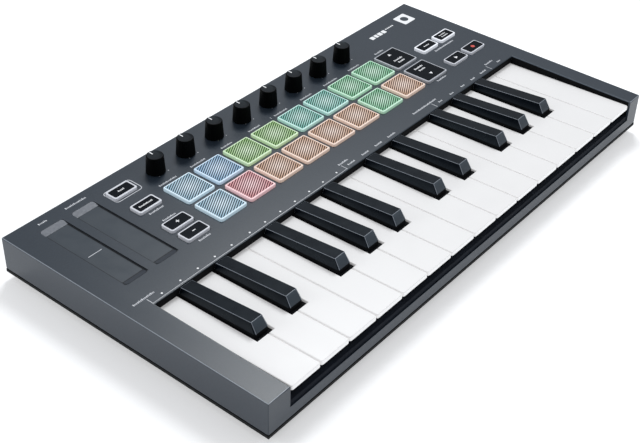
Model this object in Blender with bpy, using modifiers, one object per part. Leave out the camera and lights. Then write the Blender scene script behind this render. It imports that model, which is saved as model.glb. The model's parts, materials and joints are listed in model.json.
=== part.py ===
"""A compact MIDI controller with 25 mini keys, 16 pads, 8 knobs and two touch strips.

Every sub-part is its own closed solid. X runs along the keys, Y from the player to the rear sockets,
Z up. The origin is the middle of the footprint, on the table. All lengths are in metres.
"""

import math

import bmesh
import bpy
from mathutils import Matrix, Vector

# ---- the case -------------------------------------------------------------------------------
WIDTH = 0.330
DEPTH = 0.172
CASE_H = 0.0189            # height of the grey side walls
WALL = 0.0020
FOOT_H = 0.0015
TRAY_TAPER = 0.0030        # the black tray leans in below its upright edge
TRAY_EDGE = 0.0020
CASE_Z = FOOT_H + TRAY_TAPER + TRAY_EDGE
PANEL_Z = CASE_Z + CASE_H
PANEL_UNDER = PANEL_Z - WALL
EDGE_ROUND = 0.0005
LEFT = -WIDTH / 2
FRONT = -DEPTH / 2
REAR = DEPTH / 2
GAP = 0.0003               # clearance between neighbouring pieces

# ---- the keybed -----------------------------------------------------------------------------
BED_LEFT = LEFT + 0.0142
BED_RIGHT = LEFT + 0.3187
BED_REAR = FRONT + 0.0815
LIP_Z = CASE_Z + 0.0064    # top of the grey lip under the keys
KEY_COUNT = 15
KEY_PITCH = 0.02017
KEYS_LEFT = LEFT + 0.0159
KEY_SPACE = 0.0006
KEY_SETBACK = 0.0009       # the key fronts stand this far behind the case front
KEY_FRONT_Z = PANEL_Z - 0.0023
KEY_REAR_Z = PANEL_Z - 0.0048
KEY_PLATE = 0.0023
KEY_TAIL = 0.0022          # the tail reaches this far behind the pivot
KEY_ROUND = 0.0004
RIB_HALF = 0.0012
RIB_DEPTH = 0.0014
RIB_REAR = -0.006
BARREL_L = 0.007
PIVOT_Y = FRONT + 0.0920
PIVOT_Z = CASE_Z + 0.0114
PIVOT_R = 0.0017
KEY_SLOPE = math.atan2(KEY_FRONT_Z - KEY_REAR_Z, BED_REAR - FRONT - KEY_SETBACK)

# ---- the black keys -------------------------------------------------------------------------
BLACK_HEAD = 0.0317        # length of a white key in front of the black ones
BLACK_SPACE = 0.00045
BLACK_TOP_FRONT = FRONT + 0.0372
BLACK_TOP_Z = PANEL_Z + 0.0033
BLACK_TOP_REAR_Z = PANEL_Z - 0.0006
BLACK_NOSE_Y = FRONT + 0.0332
BLACK_NOSE_Z = PANEL_Z - 0.0019
BLACK_TAIL_HALF = 0.0040
# Half widths of a black key's sides and of its nose, and the depth of the corner between them.
BLACK_FOOT = (0.00525, 0.0048, 0.0004)
BLACK_NOSE = (0.00490, 0.0039, 0.0009)
BLACK_TOP = (0.00375, 0.0035, 0.0003)
# Offset of each black key from the gap between its white neighbours, in the order of an octave.
BLACK_OFFSETS = {1: -0.0018, 2: 0.0018, 4: -0.0026, 5: 0.0, 6: 0.0026}
WHITES_PER_OCTAVE = 7

# ---- the controls on the panel --------------------------------------------------------------
GRID_PITCH = 0.02225
GRID_LEFT = LEFT + 0.0790
PAD_SIZE = 0.0191
PAD_ROUND = 0.0015
PAD_RISE = 0.0017
PAD_ROW_REAR = FRONT + 0.1225
PAD_ROW_FRONT = PAD_ROW_REAR - GRID_PITCH
PAD_COLUMNS = 8
KNOB_Y = FRONT + 0.1562
KNOB_BASE_R = 0.0053
KNOB_TOP_R = 0.0047
KNOB_RISE = 0.0104
KNOB_LIFT = 0.0004
KNOB_EDGE = 0.0004
SHAFT_R = 0.0030
SHAFT_RISE = 0.0074
BORE_ROOF = 0.0080
CAP_W = 0.0154
CAP_D = 0.0084
CAP_ROUND = 0.0012
CAP_RISE = 0.0015
CAP_SPACE = 0.00035
ROCKER_SPACE = 0.00050
CAP_EDGE = 0.0003
WEB_HALF = 0.0025
FLANGE_T = 0.0013
FLANGE_EDGE = 0.0011
BUTTON_BOTTOM = PANEL_UNDER - GAP - FLANGE_T
ROCKER_Z = BUTTON_BOTTOM + FLANGE_T / 4
LEFT_COLUMN = LEFT + 0.0641
TRANSPOSE_Y = FRONT + 0.1383
LOW_BUTTON_Y = FRONT + 0.1049
OCTAVE_UP_Y = LOW_BUTTON_Y + 0.0112
HIGH_BUTTON_Y = FRONT + 0.1270
RIGHT_COLUMNS = (LEFT + 0.2918, LEFT + 0.3102)

# ---- the touch strips -----------------------------------------------------------------------
STRIP_LEFTS = (LEFT + 0.0146, LEFT + 0.0347)
STRIP_W = 0.0148
STRIP_FRONT = FRONT + 0.1005
STRIP_REAR = FRONT + 0.1615
STRIP_DEPTH = 0.0009
STRIP_FRONT_RAMP = 0.0033
STRIP_REAR_RAMP = 0.0045

# ---- what is inside -------------------------------------------------------------------------
CHASSIS_Z = LIP_Z + GAP
CHASSIS_T = 0.0015
RAIL_TOP = CASE_Z + 0.0096
RAIL_SETBACK = 0.0006
CRADLE_TOP = CASE_Z + 0.0108
CRADLE_HALF = 0.0035
BOARD_Z = CASE_Z + 0.0120
BOARD_T = 0.0016
BOARD_FRONT = FRONT + 0.0970
BOARD_MARGIN = 0.0060
SENSOR_H = 0.0006
POT_H = 0.0028
SOCKET_Z = CASE_Z + 0.0068
USB_X = LEFT + 0.060
JACK_X = LEFT + 0.086
MIDI_X = LEFT + 0.108
LOCK_X = LEFT + 0.290
JACK_BORE_R = 0.00325
JACK_NOSE_R = 0.0046
MINI_BORE_R = 0.0018
MINI_NOSE_R = 0.0032
USB_W = 0.0120
USB_H = 0.0108

# ---- the tray underneath --------------------------------------------------------------------
TRAY_FLOOR_Z = FOOT_H + 0.0018
FOOT_R = 0.0065
FOOT_X = 0.148
FOOT_Y = 0.069
POST_R = 0.0038
SCREW_R = 0.0016
SCREW_HEAD_R = 0.0030
SCREW_SINK = 0.0014
POST_COLUMNS = (-0.138, 0.0, 0.138)
POST_ROW_FRONT = FRONT + 0.022
POST_ROW_MIDDLE = FRONT + 0.085
POST_ROW_REAR = FRONT + 0.149

# ---- colours of the lit pads, from left to right ----------------------------------------------
PAD_TINTS = {
    "rear": ((0.10, 0.27, 0.45), (0.05, 0.20, 0.50), (0.14, 0.38, 0.08), (0.16, 0.42, 0.08),
             (0.04, 0.33, 0.22), (0.06, 0.38, 0.32), (0.10, 0.40, 0.14), (0.12, 0.42, 0.14)),
    "front": ((0.12, 0.32, 0.50), (0.55, 0.05, 0.07), (0.38, 0.20, 0.10), (0.42, 0.20, 0.14),
              (0.44, 0.26, 0.12), (0.48, 0.27, 0.14), (0.12, 0.40, 0.12), (0.52, 0.26, 0.14)),
}

ROUND_STEPS = 24
KNOB_STEPS = 20
SMALL_STEPS = 12


# ---- helpers --------------------------------------------------------------------------------
def empty_scene():
    for obj in list(bpy.data.objects):
        bpy.data.objects.remove(obj, do_unlink=True)


def new_collection(name):
    collection = bpy.data.collections.new(name)
    bpy.context.scene.collection.children.link(collection)
    return collection


def plastic(name, colour, roughness, metallic=0.0):
    """A Principled BSDF material with one colour."""
    material = bpy.data.materials.new(name)
    material.use_nodes = True
    shader = material.node_tree.nodes["Principled BSDF"]
    shader.inputs["Base Color"].default_value = (*colour, 1.0)
    shader.inputs["Roughness"].default_value = roughness
    shader.inputs["Metallic"].default_value = metallic
    return material


def add_object(name, mesh, collection, material=None):
    obj = bpy.data.objects.new(name, mesh)
    collection.objects.link(obj)
    if material is not None:
        mesh.materials.clear()
        mesh.materials.append(material)
    if collection is CUTTERS:
        obj.hide_render = True
        obj.display_type = "WIRE"
    return obj


def box(name, low, high, collection, material=None):
    """A block between two corners, with its origin at its middle."""
    size = Vector(high) - Vector(low)
    shell = bmesh.new()
    bmesh.ops.create_cube(shell, size=1.0, matrix=Matrix.Diagonal((*size, 1.0)))
    mesh = bpy.data.meshes.new(name)
    shell.to_mesh(mesh)
    shell.free()
    obj = add_object(name, mesh, collection, material)
    obj.location = (Vector(low) + Vector(high)) / 2
    return obj


def boxes(name, corners, collection):
    """Several separate blocks in one object."""
    shell = bmesh.new()
    for low, high in corners:
        size = Vector(high) - Vector(low)
        middle = Matrix.Translation((Vector(low) + Vector(high)) / 2)
        bmesh.ops.create_cube(shell, size=1.0, matrix=middle @ Matrix.Diagonal((*size, 1.0)))
    mesh = bpy.data.meshes.new(name)
    shell.to_mesh(mesh)
    shell.free()
    return add_object(name, mesh, collection)


def cylinders(name, stations, collection, turn=Matrix.Identity(4), steps=SMALL_STEPS):
    """Upright drums (or turned ones), each given by centre, radius and length."""
    shell = bmesh.new()
    for centre, radius, length in stations:
        bmesh.ops.create_cone(shell, cap_ends=True, segments=steps, radius1=radius, radius2=radius,
                              depth=length, matrix=Matrix.Translation(centre) @ turn)
    mesh = bpy.data.meshes.new(name)
    shell.to_mesh(mesh)
    shell.free()
    return add_object(name, mesh, collection)


def slab(name, outlines, low, high, collection, material=None):
    """Flat outlines in the XY plane, each filled and given the thickness from low to high."""
    curve = bpy.data.curves.new(name, "CURVE")
    curve.dimensions = "2D"
    curve.fill_mode = "BOTH"
    curve.extrude = (high - low) / 2
    for outline in outlines:
        spline = curve.splines.new("POLY")
        spline.points.add(len(outline) - 1)
        for point, (x, y) in zip(spline.points, outline):
            point.co = (x, y, 0.0, 1.0)
        spline.use_cyclic_u = True
    shape = bpy.data.objects.new(name + "_outline", curve)
    CUTTERS.objects.link(shape)
    graph = bpy.context.evaluated_depsgraph_get()
    mesh = bpy.data.meshes.new_from_object(shape.evaluated_get(graph))
    bpy.data.objects.remove(shape)
    bpy.data.curves.remove(curve)
    weld(mesh)
    obj = add_object(name, mesh, collection, material)
    obj.location.z = (low + high) / 2
    return obj


def side_profile(name, profile, left, right, collection, material=None):
    """An outline of (y, z) points drawn out along X from left to right."""
    obj = slab(name, [profile], left, right, collection, material)
    obj.rotation_euler = (math.pi / 2, 0.0, math.pi / 2)
    obj.location = ((left + right) / 2, 0.0, 0.0)
    return obj


def weld(mesh):
    shell = bmesh.new()
    shell.from_mesh(mesh)
    bmesh.ops.remove_doubles(shell, verts=shell.verts, dist=1e-7)
    bmesh.ops.recalc_face_normals(shell, faces=shell.faces)
    shell.to_mesh(mesh)
    shell.free()


def loft(name, sections, collection, material=None):
    """Closed skin over stacked rings of points that all have the same number of points."""
    shell = bmesh.new()
    rings = [[shell.verts.new(point) for point in section] for section in sections]
    count = len(rings[0])
    for lower, upper in zip(rings, rings[1:]):
        for i in range(count):
            j = (i + 1) % count
            shell.faces.new((lower[i], lower[j], upper[j], upper[i]))
    shell.faces.new(list(reversed(rings[0])))
    shell.faces.new(rings[-1])
    bmesh.ops.recalc_face_normals(shell, faces=shell.faces)
    mesh = bpy.data.meshes.new(name)
    shell.to_mesh(mesh)
    shell.free()
    return add_object(name, mesh, collection, material)


def rectangle(x0, x1, y0, y1, z):
    return [(x0, y0, z), (x1, y0, z), (x1, y1, z), (x0, y1, z)]


def rounded_rectangle(x0, x1, y0, y1, radius, steps=2):
    """Outline points of a rectangle with round corners, anticlockwise."""
    points = []
    corners = ((x1, y1, 0.0), (x0, y1, 0.5), (x0, y0, 1.0), (x1, y0, 1.5))
    for x, y, start in corners:
        cx = x - math.copysign(radius, x - (x0 + x1) / 2)
        cy = y - math.copysign(radius, y - (y0 + y1) / 2)
        for step in range(steps + 1):
            angle = math.pi * (start + 0.5 * step / steps)
            points.append((cx + radius * math.cos(angle), cy + radius * math.sin(angle)))
    return points


def about(centre, width, depth, grow=0.0):
    """The four sides of a rectangle round a centre."""
    half_w = width / 2 + grow
    half_d = depth / 2 + grow
    return centre[0] - half_w, centre[0] + half_w, centre[1] - half_d, centre[1] + half_d


def boolean(obj, tool, operation):
    modifier = obj.modifiers.new(operation.lower() + "_" + tool.name, "BOOLEAN")
    modifier.operation = operation
    modifier.solver = "EXACT"
    modifier.object = tool


def cut(obj, tool):
    boolean(obj, tool, "DIFFERENCE")


def join(obj, tool):
    boolean(obj, tool, "UNION")


def bevel(obj, width, segments=1, angle=40.0):
    modifier = obj.modifiers.new("round_edges", "BEVEL")
    modifier.width = width
    modifier.segments = segments
    modifier.limit_method = "ANGLE"
    modifier.angle_limit = math.radians(angle)


def move_origin(obj, origin):
    """Put an unrotated object's origin at a point without moving its shape."""
    shift = obj.location - Vector(origin)
    obj.data.transform(Matrix.Translation(shift))
    obj.location = origin


# ---- places of the repeated controls --------------------------------------------------------
def grid_x(column):
    return GRID_LEFT + PAD_SIZE / 2 + column * GRID_PITCH


def pad_rows():
    return {"rear": PAD_ROW_REAR + PAD_SIZE / 2, "front": PAD_ROW_FRONT + PAD_SIZE / 2}


def gap_line(index):
    """X of the line between white key number index and the next one."""
    return KEYS_LEFT + index * KEY_PITCH


def black_keys():
    """Each black key's name and the X of its middle."""
    names = {1: "c_sharp", 2: "d_sharp", 4: "f_sharp", 5: "g_sharp", 6: "a_sharp"}
    keys = []
    for gap in range(1, KEY_COUNT):
        place = (gap - 1) % WHITES_PER_OCTAVE + 1
        if place in BLACK_OFFSETS:
            octave = (gap - 1) // WHITES_PER_OCTAVE + 1
            keys.append((f"key_{names[place]}_{octave}", gap_line(gap) + BLACK_OFFSETS[place]))
    return keys


def single_buttons():
    """Name, middle and size of each button that slides on its own."""
    rows = pad_rows()
    return [
        ("shift_button", (LEFT_COLUMN, KNOB_Y), CAP_W, CAP_D),
        ("transpose_button", (LEFT_COLUMN, TRANSPOSE_Y), CAP_W, CAP_D),
        ("nav_up_button", (grid_x(PAD_COLUMNS), rows["rear"]), PAD_SIZE, PAD_SIZE),
        ("nav_down_button", (grid_x(PAD_COLUMNS), rows["front"]), PAD_SIZE, PAD_SIZE),
    ]


def rocker_buttons():
    """Name and the two cap middles of each pair that shares one rocking flange."""
    return [
        ("octave_rocker", [(LEFT_COLUMN, LOW_BUTTON_Y), (LEFT_COLUMN, OCTAVE_UP_Y)]),
        ("mode_rocker", [(x, HIGH_BUTTON_Y) for x in RIGHT_COLUMNS]),
        ("transport_rocker", [(x, LOW_BUTTON_Y) for x in RIGHT_COLUMNS]),
    ]


# ---- the case -------------------------------------------------------------------------------
def make_top_case(material):
    """Grey shell with the panel, the cheeks, the front lip and the rear wall."""
    case = box("top_case", (LEFT, FRONT, CASE_Z), (-LEFT, REAR, PANEL_Z), PARTS, material)
    bevel(case, EDGE_ROUND, segments=2)
    hollow = box("case_hollow", (LEFT + WALL, FRONT + WALL, CASE_Z - WALL),
                 (-LEFT - WALL, REAR - WALL, PANEL_UNDER), CUTTERS)
    cut(case, hollow)
    over = PANEL_Z + WALL
    cut(case, side_profile("keybed_opening", [
        (FRONT - WALL, LIP_Z), (FRONT + EDGE_ROUND, LIP_Z), (FRONT + 1.3 * WALL, LIP_Z - 0.9 * WALL),
        (BED_REAR, LIP_Z - 0.9 * WALL), (BED_REAR, over), (FRONT - WALL, over),
    ], BED_LEFT, BED_RIGHT, CUTTERS))
    inset = 0.1 * EDGE_ROUND
    flare = 1.2 * EDGE_ROUND
    cut(case, loft("keybed_edge", [
        rectangle(BED_LEFT + inset, BED_RIGHT - inset, FRONT - WALL, BED_REAR - inset, PANEL_Z - EDGE_ROUND),
        rectangle(BED_LEFT - flare, BED_RIGHT + flare, FRONT - WALL, BED_REAR + flare,
                  PANEL_Z + 0.2 * EDGE_ROUND),
    ], CUTTERS))
    join(case, box("key_retaining_rib", (BED_LEFT + WALL, PIVOT_Y - 0.0008, PIVOT_Z + 0.0028),
                   (BED_RIGHT - WALL, PIVOT_Y + 0.0008, PANEL_UNDER + WALL / 2), CUTTERS))
    cut(case, button_windows())
    shaft_holes = [((grid_x(i), KNOB_Y, PANEL_Z), SHAFT_R + 0.0006, 4 * WALL) for i in range(PAD_COLUMNS)]
    cut(case, cylinders("shaft_holes", shaft_holes, CUTTERS))
    for side, left in zip(("pitch", "modulation"), STRIP_LEFTS):
        cut(case, strip_recess(side, left))
    cut(case, rear_windows())
    return case


def button_windows():
    """Openings in the panel for the pads and the buttons."""
    outlines = []
    for y in pad_rows().values():
        for column in range(PAD_COLUMNS):
            sides = about((grid_x(column), y), PAD_SIZE, PAD_SIZE, CAP_SPACE)
            outlines.append(rounded_rectangle(*sides, PAD_ROUND + CAP_SPACE))
    for _, centre, width, depth in single_buttons():
        outlines.append(rounded_rectangle(*about(centre, width, depth, CAP_SPACE), CAP_ROUND + CAP_SPACE))
    for _, centres in rocker_buttons():
        for centre in centres:
            sides = about(centre, CAP_W, CAP_D, ROCKER_SPACE)
            outlines.append(rounded_rectangle(*sides, CAP_ROUND + ROCKER_SPACE))
    return slab("button_windows", outlines, PANEL_UNDER - WALL, PANEL_Z + WALL, CUTTERS)


def strip_recess(side, left):
    """Shallow tray of one touch strip; the ramps at its ends go on up past the panel at one slope."""
    over = PANEL_Z + STRIP_DEPTH
    floor = PANEL_Z - STRIP_DEPTH
    recess = side_profile(side + "_strip_recess", [
        (STRIP_FRONT - STRIP_FRONT_RAMP, over), (STRIP_FRONT + STRIP_FRONT_RAMP, floor),
        (STRIP_REAR - STRIP_REAR_RAMP, floor), (STRIP_REAR + STRIP_REAR_RAMP, over),
    ], left, left + STRIP_W, CUTTERS)
    bevel(recess, 0.0003, segments=2, angle=60.0)
    return recess


def rear_windows():
    """Openings in the rear wall: the USB socket, two jacks and a lock slot."""
    behind = REAR - 2 * WALL
    outside = REAR + WALL
    usb = ((USB_X - USB_W / 2 - GAP, behind, SOCKET_Z - USB_H / 2 - GAP),
           (USB_X + USB_W / 2 + GAP, outside, SOCKET_Z + USB_H / 2 + GAP))
    lock = ((LOCK_X - 0.0035, behind, SOCKET_Z - 0.0015), (LOCK_X + 0.0035, outside, SOCKET_Z + 0.0015))
    windows = boxes("rear_windows", [usb, lock], CUTTERS)
    turn = Matrix.Rotation(math.pi / 2, 4, "X")
    noses = [((JACK_X, REAR - WALL, SOCKET_Z), JACK_NOSE_R + GAP, 4 * WALL),
             ((MIDI_X, REAR - WALL, SOCKET_Z), MINI_NOSE_R + GAP, 4 * WALL)]
    join(windows, cylinders("jack_windows", noses, CUTTERS, turn, ROUND_STEPS))
    return windows


def make_bottom_case(material):
    """Black tray with moulded feet, screw posts and a tongue that locates the grey shell."""
    inset = TRAY_TAPER
    rim = CASE_Z - GAP
    edge = CASE_Z - TRAY_EDGE
    tray = loft("bottom_case", [
        rectangle(LEFT + inset, -LEFT - inset, FRONT + inset, REAR - inset, FOOT_H),
        rectangle(LEFT, -LEFT, FRONT, REAR, edge),
        rectangle(LEFT, -LEFT, FRONT, REAR, rim),
    ], PARTS, material)
    tongue_out = WALL + GAP
    tongue_in = tongue_out + 0.0016
    join(tray, box("tray_tongue", (LEFT + tongue_out, FRONT + tongue_out, edge),
                   (-LEFT - tongue_out, REAR - tongue_out, rim + 0.0012), CUTTERS))
    cut(tray, box("tray_hollow", (LEFT + tongue_in, FRONT + tongue_in, TRAY_FLOOR_Z),
                  (-LEFT - tongue_in, REAR - tongue_in, PANEL_Z), CUTTERS))
    feet = [((x, y, FOOT_H / 2 + 0.0003), FOOT_R, FOOT_H + 0.0006)
            for x in (-FOOT_X, FOOT_X) for y in (-FOOT_Y, FOOT_Y)]
    join(tray, cylinders("moulded_feet", feet, CUTTERS, steps=ROUND_STEPS))
    posts = []
    shanks = []
    heads = []
    for x in POST_COLUMNS:
        for y, top in ((POST_ROW_FRONT, CHASSIS_Z), (POST_ROW_MIDDLE, CHASSIS_Z), (POST_ROW_REAR, BOARD_Z)):
            height = top - GAP - FOOT_H - GAP
            posts.append(((x, y, FOOT_H + GAP + height / 2), POST_R, height))
            shanks.append(((x, y, FOOT_H + height / 2), SCREW_R, 2 * height))
            heads.append(((x, y, FOOT_H), SCREW_HEAD_R, 2 * SCREW_SINK))
    join(tray, cylinders("screw_posts", posts, CUTTERS))
    cut(tray, cylinders("screw_shanks", shanks, CUTTERS, steps=8))
    cut(tray, cylinders("screw_heads", heads, CUTTERS))
    return tray


def make_key_chassis(material):
    """Black frame under the keys: front rail, floor and the grooved bar that the keys pivot in."""
    groove_r = PIVOT_R + GAP
    half_opening = math.acos((PIVOT_Z - CRADLE_TOP) / groove_r)
    groove = []
    for step in range(9):
        angle = -math.pi / 2 - half_opening + 2 * half_opening * step / 8
        groove.append((PIVOT_Y + groove_r * math.cos(angle), PIVOT_Z + groove_r * math.sin(angle)))
    rail_front = FRONT + RAIL_SETBACK
    floor = CHASSIS_Z + CHASSIS_T
    profile = [
        (rail_front, CHASSIS_Z), (PIVOT_Y + CRADLE_HALF, CHASSIS_Z), (PIVOT_Y + CRADLE_HALF, CRADLE_TOP),
        *reversed(groove),
        (PIVOT_Y - CRADLE_HALF, CRADLE_TOP), (PIVOT_Y - CRADLE_HALF, floor),
        (rail_front + WALL, floor), (rail_front + WALL, RAIL_TOP), (rail_front, RAIL_TOP),
    ]
    return side_profile("key_chassis", profile, BED_LEFT + GAP, BED_RIGHT - GAP, PARTS, material)


def make_main_board(material):
    """Circuit board with the pots, the pad and button sensors and the rear sockets."""
    board = box("main_board", (LEFT + BOARD_MARGIN, BOARD_FRONT, BOARD_Z),
                (-LEFT - BOARD_MARGIN, REAR - WALL - GAP, BOARD_Z + BOARD_T), PARTS, material)
    top = BOARD_Z + BOARD_T
    sunk = BOARD_Z + BOARD_T / 2
    blocks = []
    for column in range(PAD_COLUMNS):
        x = grid_x(column)
        blocks.append(((x - 0.0048, KNOB_Y - 0.005, sunk), (x + 0.0048, KNOB_Y + 0.005, top + POT_H)))
    sensors = [(grid_x(column), y) for y in pad_rows().values() for column in range(PAD_COLUMNS + 1)]
    sensors += [centre for _, centre, width, _ in single_buttons() if width == CAP_W]
    sensors += [centre for _, centres in rocker_buttons() for centre in centres]
    for x, y in sensors:
        blocks.append(((x - 0.0022, y - 0.0022, sunk), (x + 0.0022, y + 0.0022, top + SENSOR_H)))
    behind = REAR - WALL - 2 * GAP
    front = REAR - 0.018
    for x, half in ((USB_X, USB_W / 2), (JACK_X, 0.0070), (MIDI_X, 0.0045)):
        blocks.append(((x - half, front, SOCKET_Z - USB_H / 2), (x + half, behind, sunk)))
    join(board, boxes("board_parts", blocks, CUTTERS))
    shafts = [((grid_x(i), KNOB_Y, top + (PANEL_Z + SHAFT_RISE - top) / 2), SHAFT_R,
               PANEL_Z + SHAFT_RISE - top) for i in range(PAD_COLUMNS)]
    join(board, cylinders("pot_shafts", shafts, CUTTERS))
    turn = Matrix.Rotation(math.pi / 2, 4, "X")
    noses = [((x, REAR - 0.003, SOCKET_Z), radius, 0.0058)
             for x, radius in ((JACK_X, JACK_NOSE_R), (MIDI_X, MINI_NOSE_R))]
    join(board, cylinders("jack_noses", noses, CUTTERS, turn, ROUND_STEPS))
    join(board, box("usb_nose", (USB_X - USB_W / 2 + GAP, front, SOCKET_Z - USB_H / 2 + GAP),
                    (USB_X + USB_W / 2 - GAP, REAR - GAP, SOCKET_Z + USB_H / 2 - GAP), CUTTERS))
    cut(board, usb_cavity())
    bores = [((JACK_X, REAR - 0.005, SOCKET_Z), JACK_BORE_R, 0.024),
             ((MIDI_X, REAR - 0.003, SOCKET_Z), MINI_BORE_R, 0.020)]
    cut(board, cylinders("jack_bores", bores, CUTTERS, turn, ROUND_STEPS))
    return board


def usb_cavity():
    """Hollow of the USB socket round its contact tongue."""
    cavity = box("usb_cavity", (USB_X - 0.0043, REAR - 0.0095, SOCKET_Z - 0.0039),
                 (USB_X + 0.0043, REAR + 0.001, SOCKET_Z + 0.0039), CUTTERS)
    cut(cavity, box("usb_tongue", (USB_X - 0.0028, REAR - 0.012, SOCKET_Z - 0.0016),
                    (USB_X + 0.0028, REAR - 0.0012, SOCKET_Z + 0.0016), CUTTERS))
    return cavity


# ---- the keys -------------------------------------------------------------------------------
def in_key_frame(y, z):
    """A point of the resting keybed seen from the pivot, with the key's own slope taken out."""
    dy = y - PIVOT_Y
    dz = z - PIVOT_Z
    return (dy * math.cos(KEY_SLOPE) - dz * math.sin(KEY_SLOPE),
            dy * math.sin(KEY_SLOPE) + dz * math.cos(KEY_SLOPE))


def white_outline(index):
    """Plan of one white key round its own middle, notched for the black keys beside it."""
    middle = gap_line(index) + KEY_PITCH / 2
    half = (KEY_PITCH - KEY_SPACE) / 2
    front, _ = in_key_frame(FRONT + KEY_SETBACK, KEY_FRONT_Z)
    notch, _ = in_key_frame(FRONT + BLACK_HEAD, KEY_FRONT_Z)
    rear = KEY_TAIL
    left = -half
    right = half
    for _, x in black_keys():
        reach = BLACK_FOOT[0] + BLACK_SPACE
        if abs(x - gap_line(index)) < KEY_PITCH / 3:
            left = x + reach - middle
        if abs(x - gap_line(index + 1)) < KEY_PITCH / 3:
            right = x - reach - middle
    points = [(-half, front), (half, front)]
    if right < half:
        points += [(half, notch), (right, notch)]
    points += [(right, rear), (left, rear)]
    if left > -half:
        points += [(left, notch), (-half, notch)]
    return points, (left + right) / 2


def seat_key(key, middle):
    """Place a key modelled round its pivot: on the axis, sloping up to the front."""
    key.location = (middle, PIVOT_Y, PIVOT_Z)
    key.rotation_euler = (-KEY_SLOPE, 0.0, 0.0)


def key_underside(key, tail_x, rib_front):
    """Stiffening rib and pivot barrel, added under a key in the key's own frame."""
    rib = box(key.name + "_rib", (tail_x - RIB_HALF, rib_front, -RIB_DEPTH),
              (tail_x + RIB_HALF, RIB_REAR, 0.0008), CUTTERS)
    turn = Matrix.Rotation(math.pi / 2, 4, "Y")
    barrel = cylinders(key.name + "_barrel", [((tail_x, 0.0, 0.0), PIVOT_R, BARREL_L)], CUTTERS, turn)
    for tool in (rib, barrel):
        tool.parent = key
        join(key, tool)


def make_white_key(index, name, material):
    outline, tail_x = white_outline(index)
    _, top = in_key_frame(FRONT + KEY_SETBACK, KEY_FRONT_Z)
    key = slab(name, [outline], top - KEY_PLATE, top, PARTS, material)
    move_origin(key, (0.0, 0.0, 0.0))
    bevel(key, KEY_ROUND)
    key_underside(key, tail_x, -0.080)
    seat_key(key, gap_line(index) + KEY_PITCH / 2)
    return key


def make_black_key(name, middle, material):
    """Tapered block above the white keys, with a low tail that runs under the panel."""
    front_y = FRONT + BLACK_HEAD + BLACK_SPACE
    rear_y = BED_REAR - GAP
    foot_z = KEY_FRONT_Z - (BLACK_HEAD - KEY_SETBACK) * math.tan(KEY_SLOPE)
    bottom = in_key_frame(FRONT + KEY_SETBACK, KEY_FRONT_Z)[1] - KEY_PLATE
    nose_rear_z = 0.75 * KEY_REAR_Z + 0.25 * BLACK_TOP_REAR_Z
    levels = (
        (in_key_frame(front_y, foot_z), in_key_frame(rear_y, KEY_REAR_Z), BLACK_FOOT),
        (in_key_frame(BLACK_NOSE_Y, BLACK_NOSE_Z), in_key_frame(rear_y, nose_rear_z), BLACK_NOSE),
        (in_key_frame(BLACK_TOP_FRONT, BLACK_TOP_Z), in_key_frame(rear_y, BLACK_TOP_REAR_Z), BLACK_TOP),
    )
    (foot_front, _), (foot_rear, _), _ = levels[0]
    sections = [black_section((foot_front, bottom), (foot_rear, bottom), BLACK_FOOT)]
    sections += [black_section(*level) for level in levels]
    key = loft(name, sections, PARTS, material)
    tail = box(name + "_tail", (-BLACK_TAIL_HALF, foot_rear - 0.0015, bottom),
               (BLACK_TAIL_HALF, KEY_TAIL, bottom + 0.0021), CUTTERS)
    tail.parent = key
    join(key, tail)
    key_underside(key, 0.0, -0.056)
    seat_key(key, middle)
    return key


def black_section(front, rear, shape):
    """One level of a black key: its rear corners, its sides and its narrower nose."""
    half, nose_half, corner = shape
    front_y, front_z = front
    rear_y, rear_z = rear
    return [(-nose_half, front_y, front_z), (nose_half, front_y, front_z),
            (half, front_y + corner, front_z), (half, rear_y, rear_z),
            (-half, rear_y, rear_z), (-half, front_y + corner, front_z)]


# ---- the controls ---------------------------------------------------------------------------
def make_pad(name, centre, material):
    """Silicone pad: the block that shows, and the flange that holds it under the panel."""
    return make_cap(name, centre, (PAD_SIZE, PAD_SIZE, PAD_ROUND, PAD_RISE), material)


def make_cap(name, centre, shape, material):
    """A key cap that rises through its window from a flange under the panel."""
    width, depth, corner, rise = shape
    outline = rounded_rectangle(*about((0.0, 0.0), width, depth), corner)
    cap = slab(name, [outline], BUTTON_BOTTOM + FLANGE_T / 2, PANEL_Z + rise, PARTS, material)
    bevel(cap, CAP_EDGE)
    rim = rounded_rectangle(*about((0.0, 0.0), width, depth, FLANGE_EDGE), corner)
    flange = slab(name + "_flange", [rim], BUTTON_BOTTOM, BUTTON_BOTTOM + FLANGE_T, CUTTERS)
    for piece in (cap, flange):
        piece.location.x, piece.location.y = centre
    join(cap, flange)
    return cap


def make_rocker(name, centres, material):
    """Two button caps on one web that rocks about the line between them."""
    middle = (Vector(centres[0]) + Vector(centres[1])) / 2
    outlines = []
    for centre in centres:
        x, y = Vector(centre) - middle
        outlines.append(rounded_rectangle(*about((x, y), CAP_W, CAP_D), CAP_ROUND))
    bottom = BUTTON_BOTTOM - GAP
    rocker = slab(name, outlines, bottom, PANEL_Z + CAP_RISE, PARTS, material)
    move_origin(rocker, (0.0, 0.0, ROCKER_Z))
    rocker.location = (*middle, ROCKER_Z)
    bevel(rocker, CAP_EDGE)
    span = (Vector(centres[1]) - Vector(centres[0])) / 2
    half = (max(abs(span.x), WEB_HALF), max(abs(span.y), WEB_HALF))
    web = box(name + "_web", (-half[0], -half[1], bottom - ROCKER_Z + GAP / 2),
              (half[0], half[1], ROCKER_Z - bottom - GAP / 2), CUTTERS)
    web.parent = rocker
    join(rocker, web)
    return rocker


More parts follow.
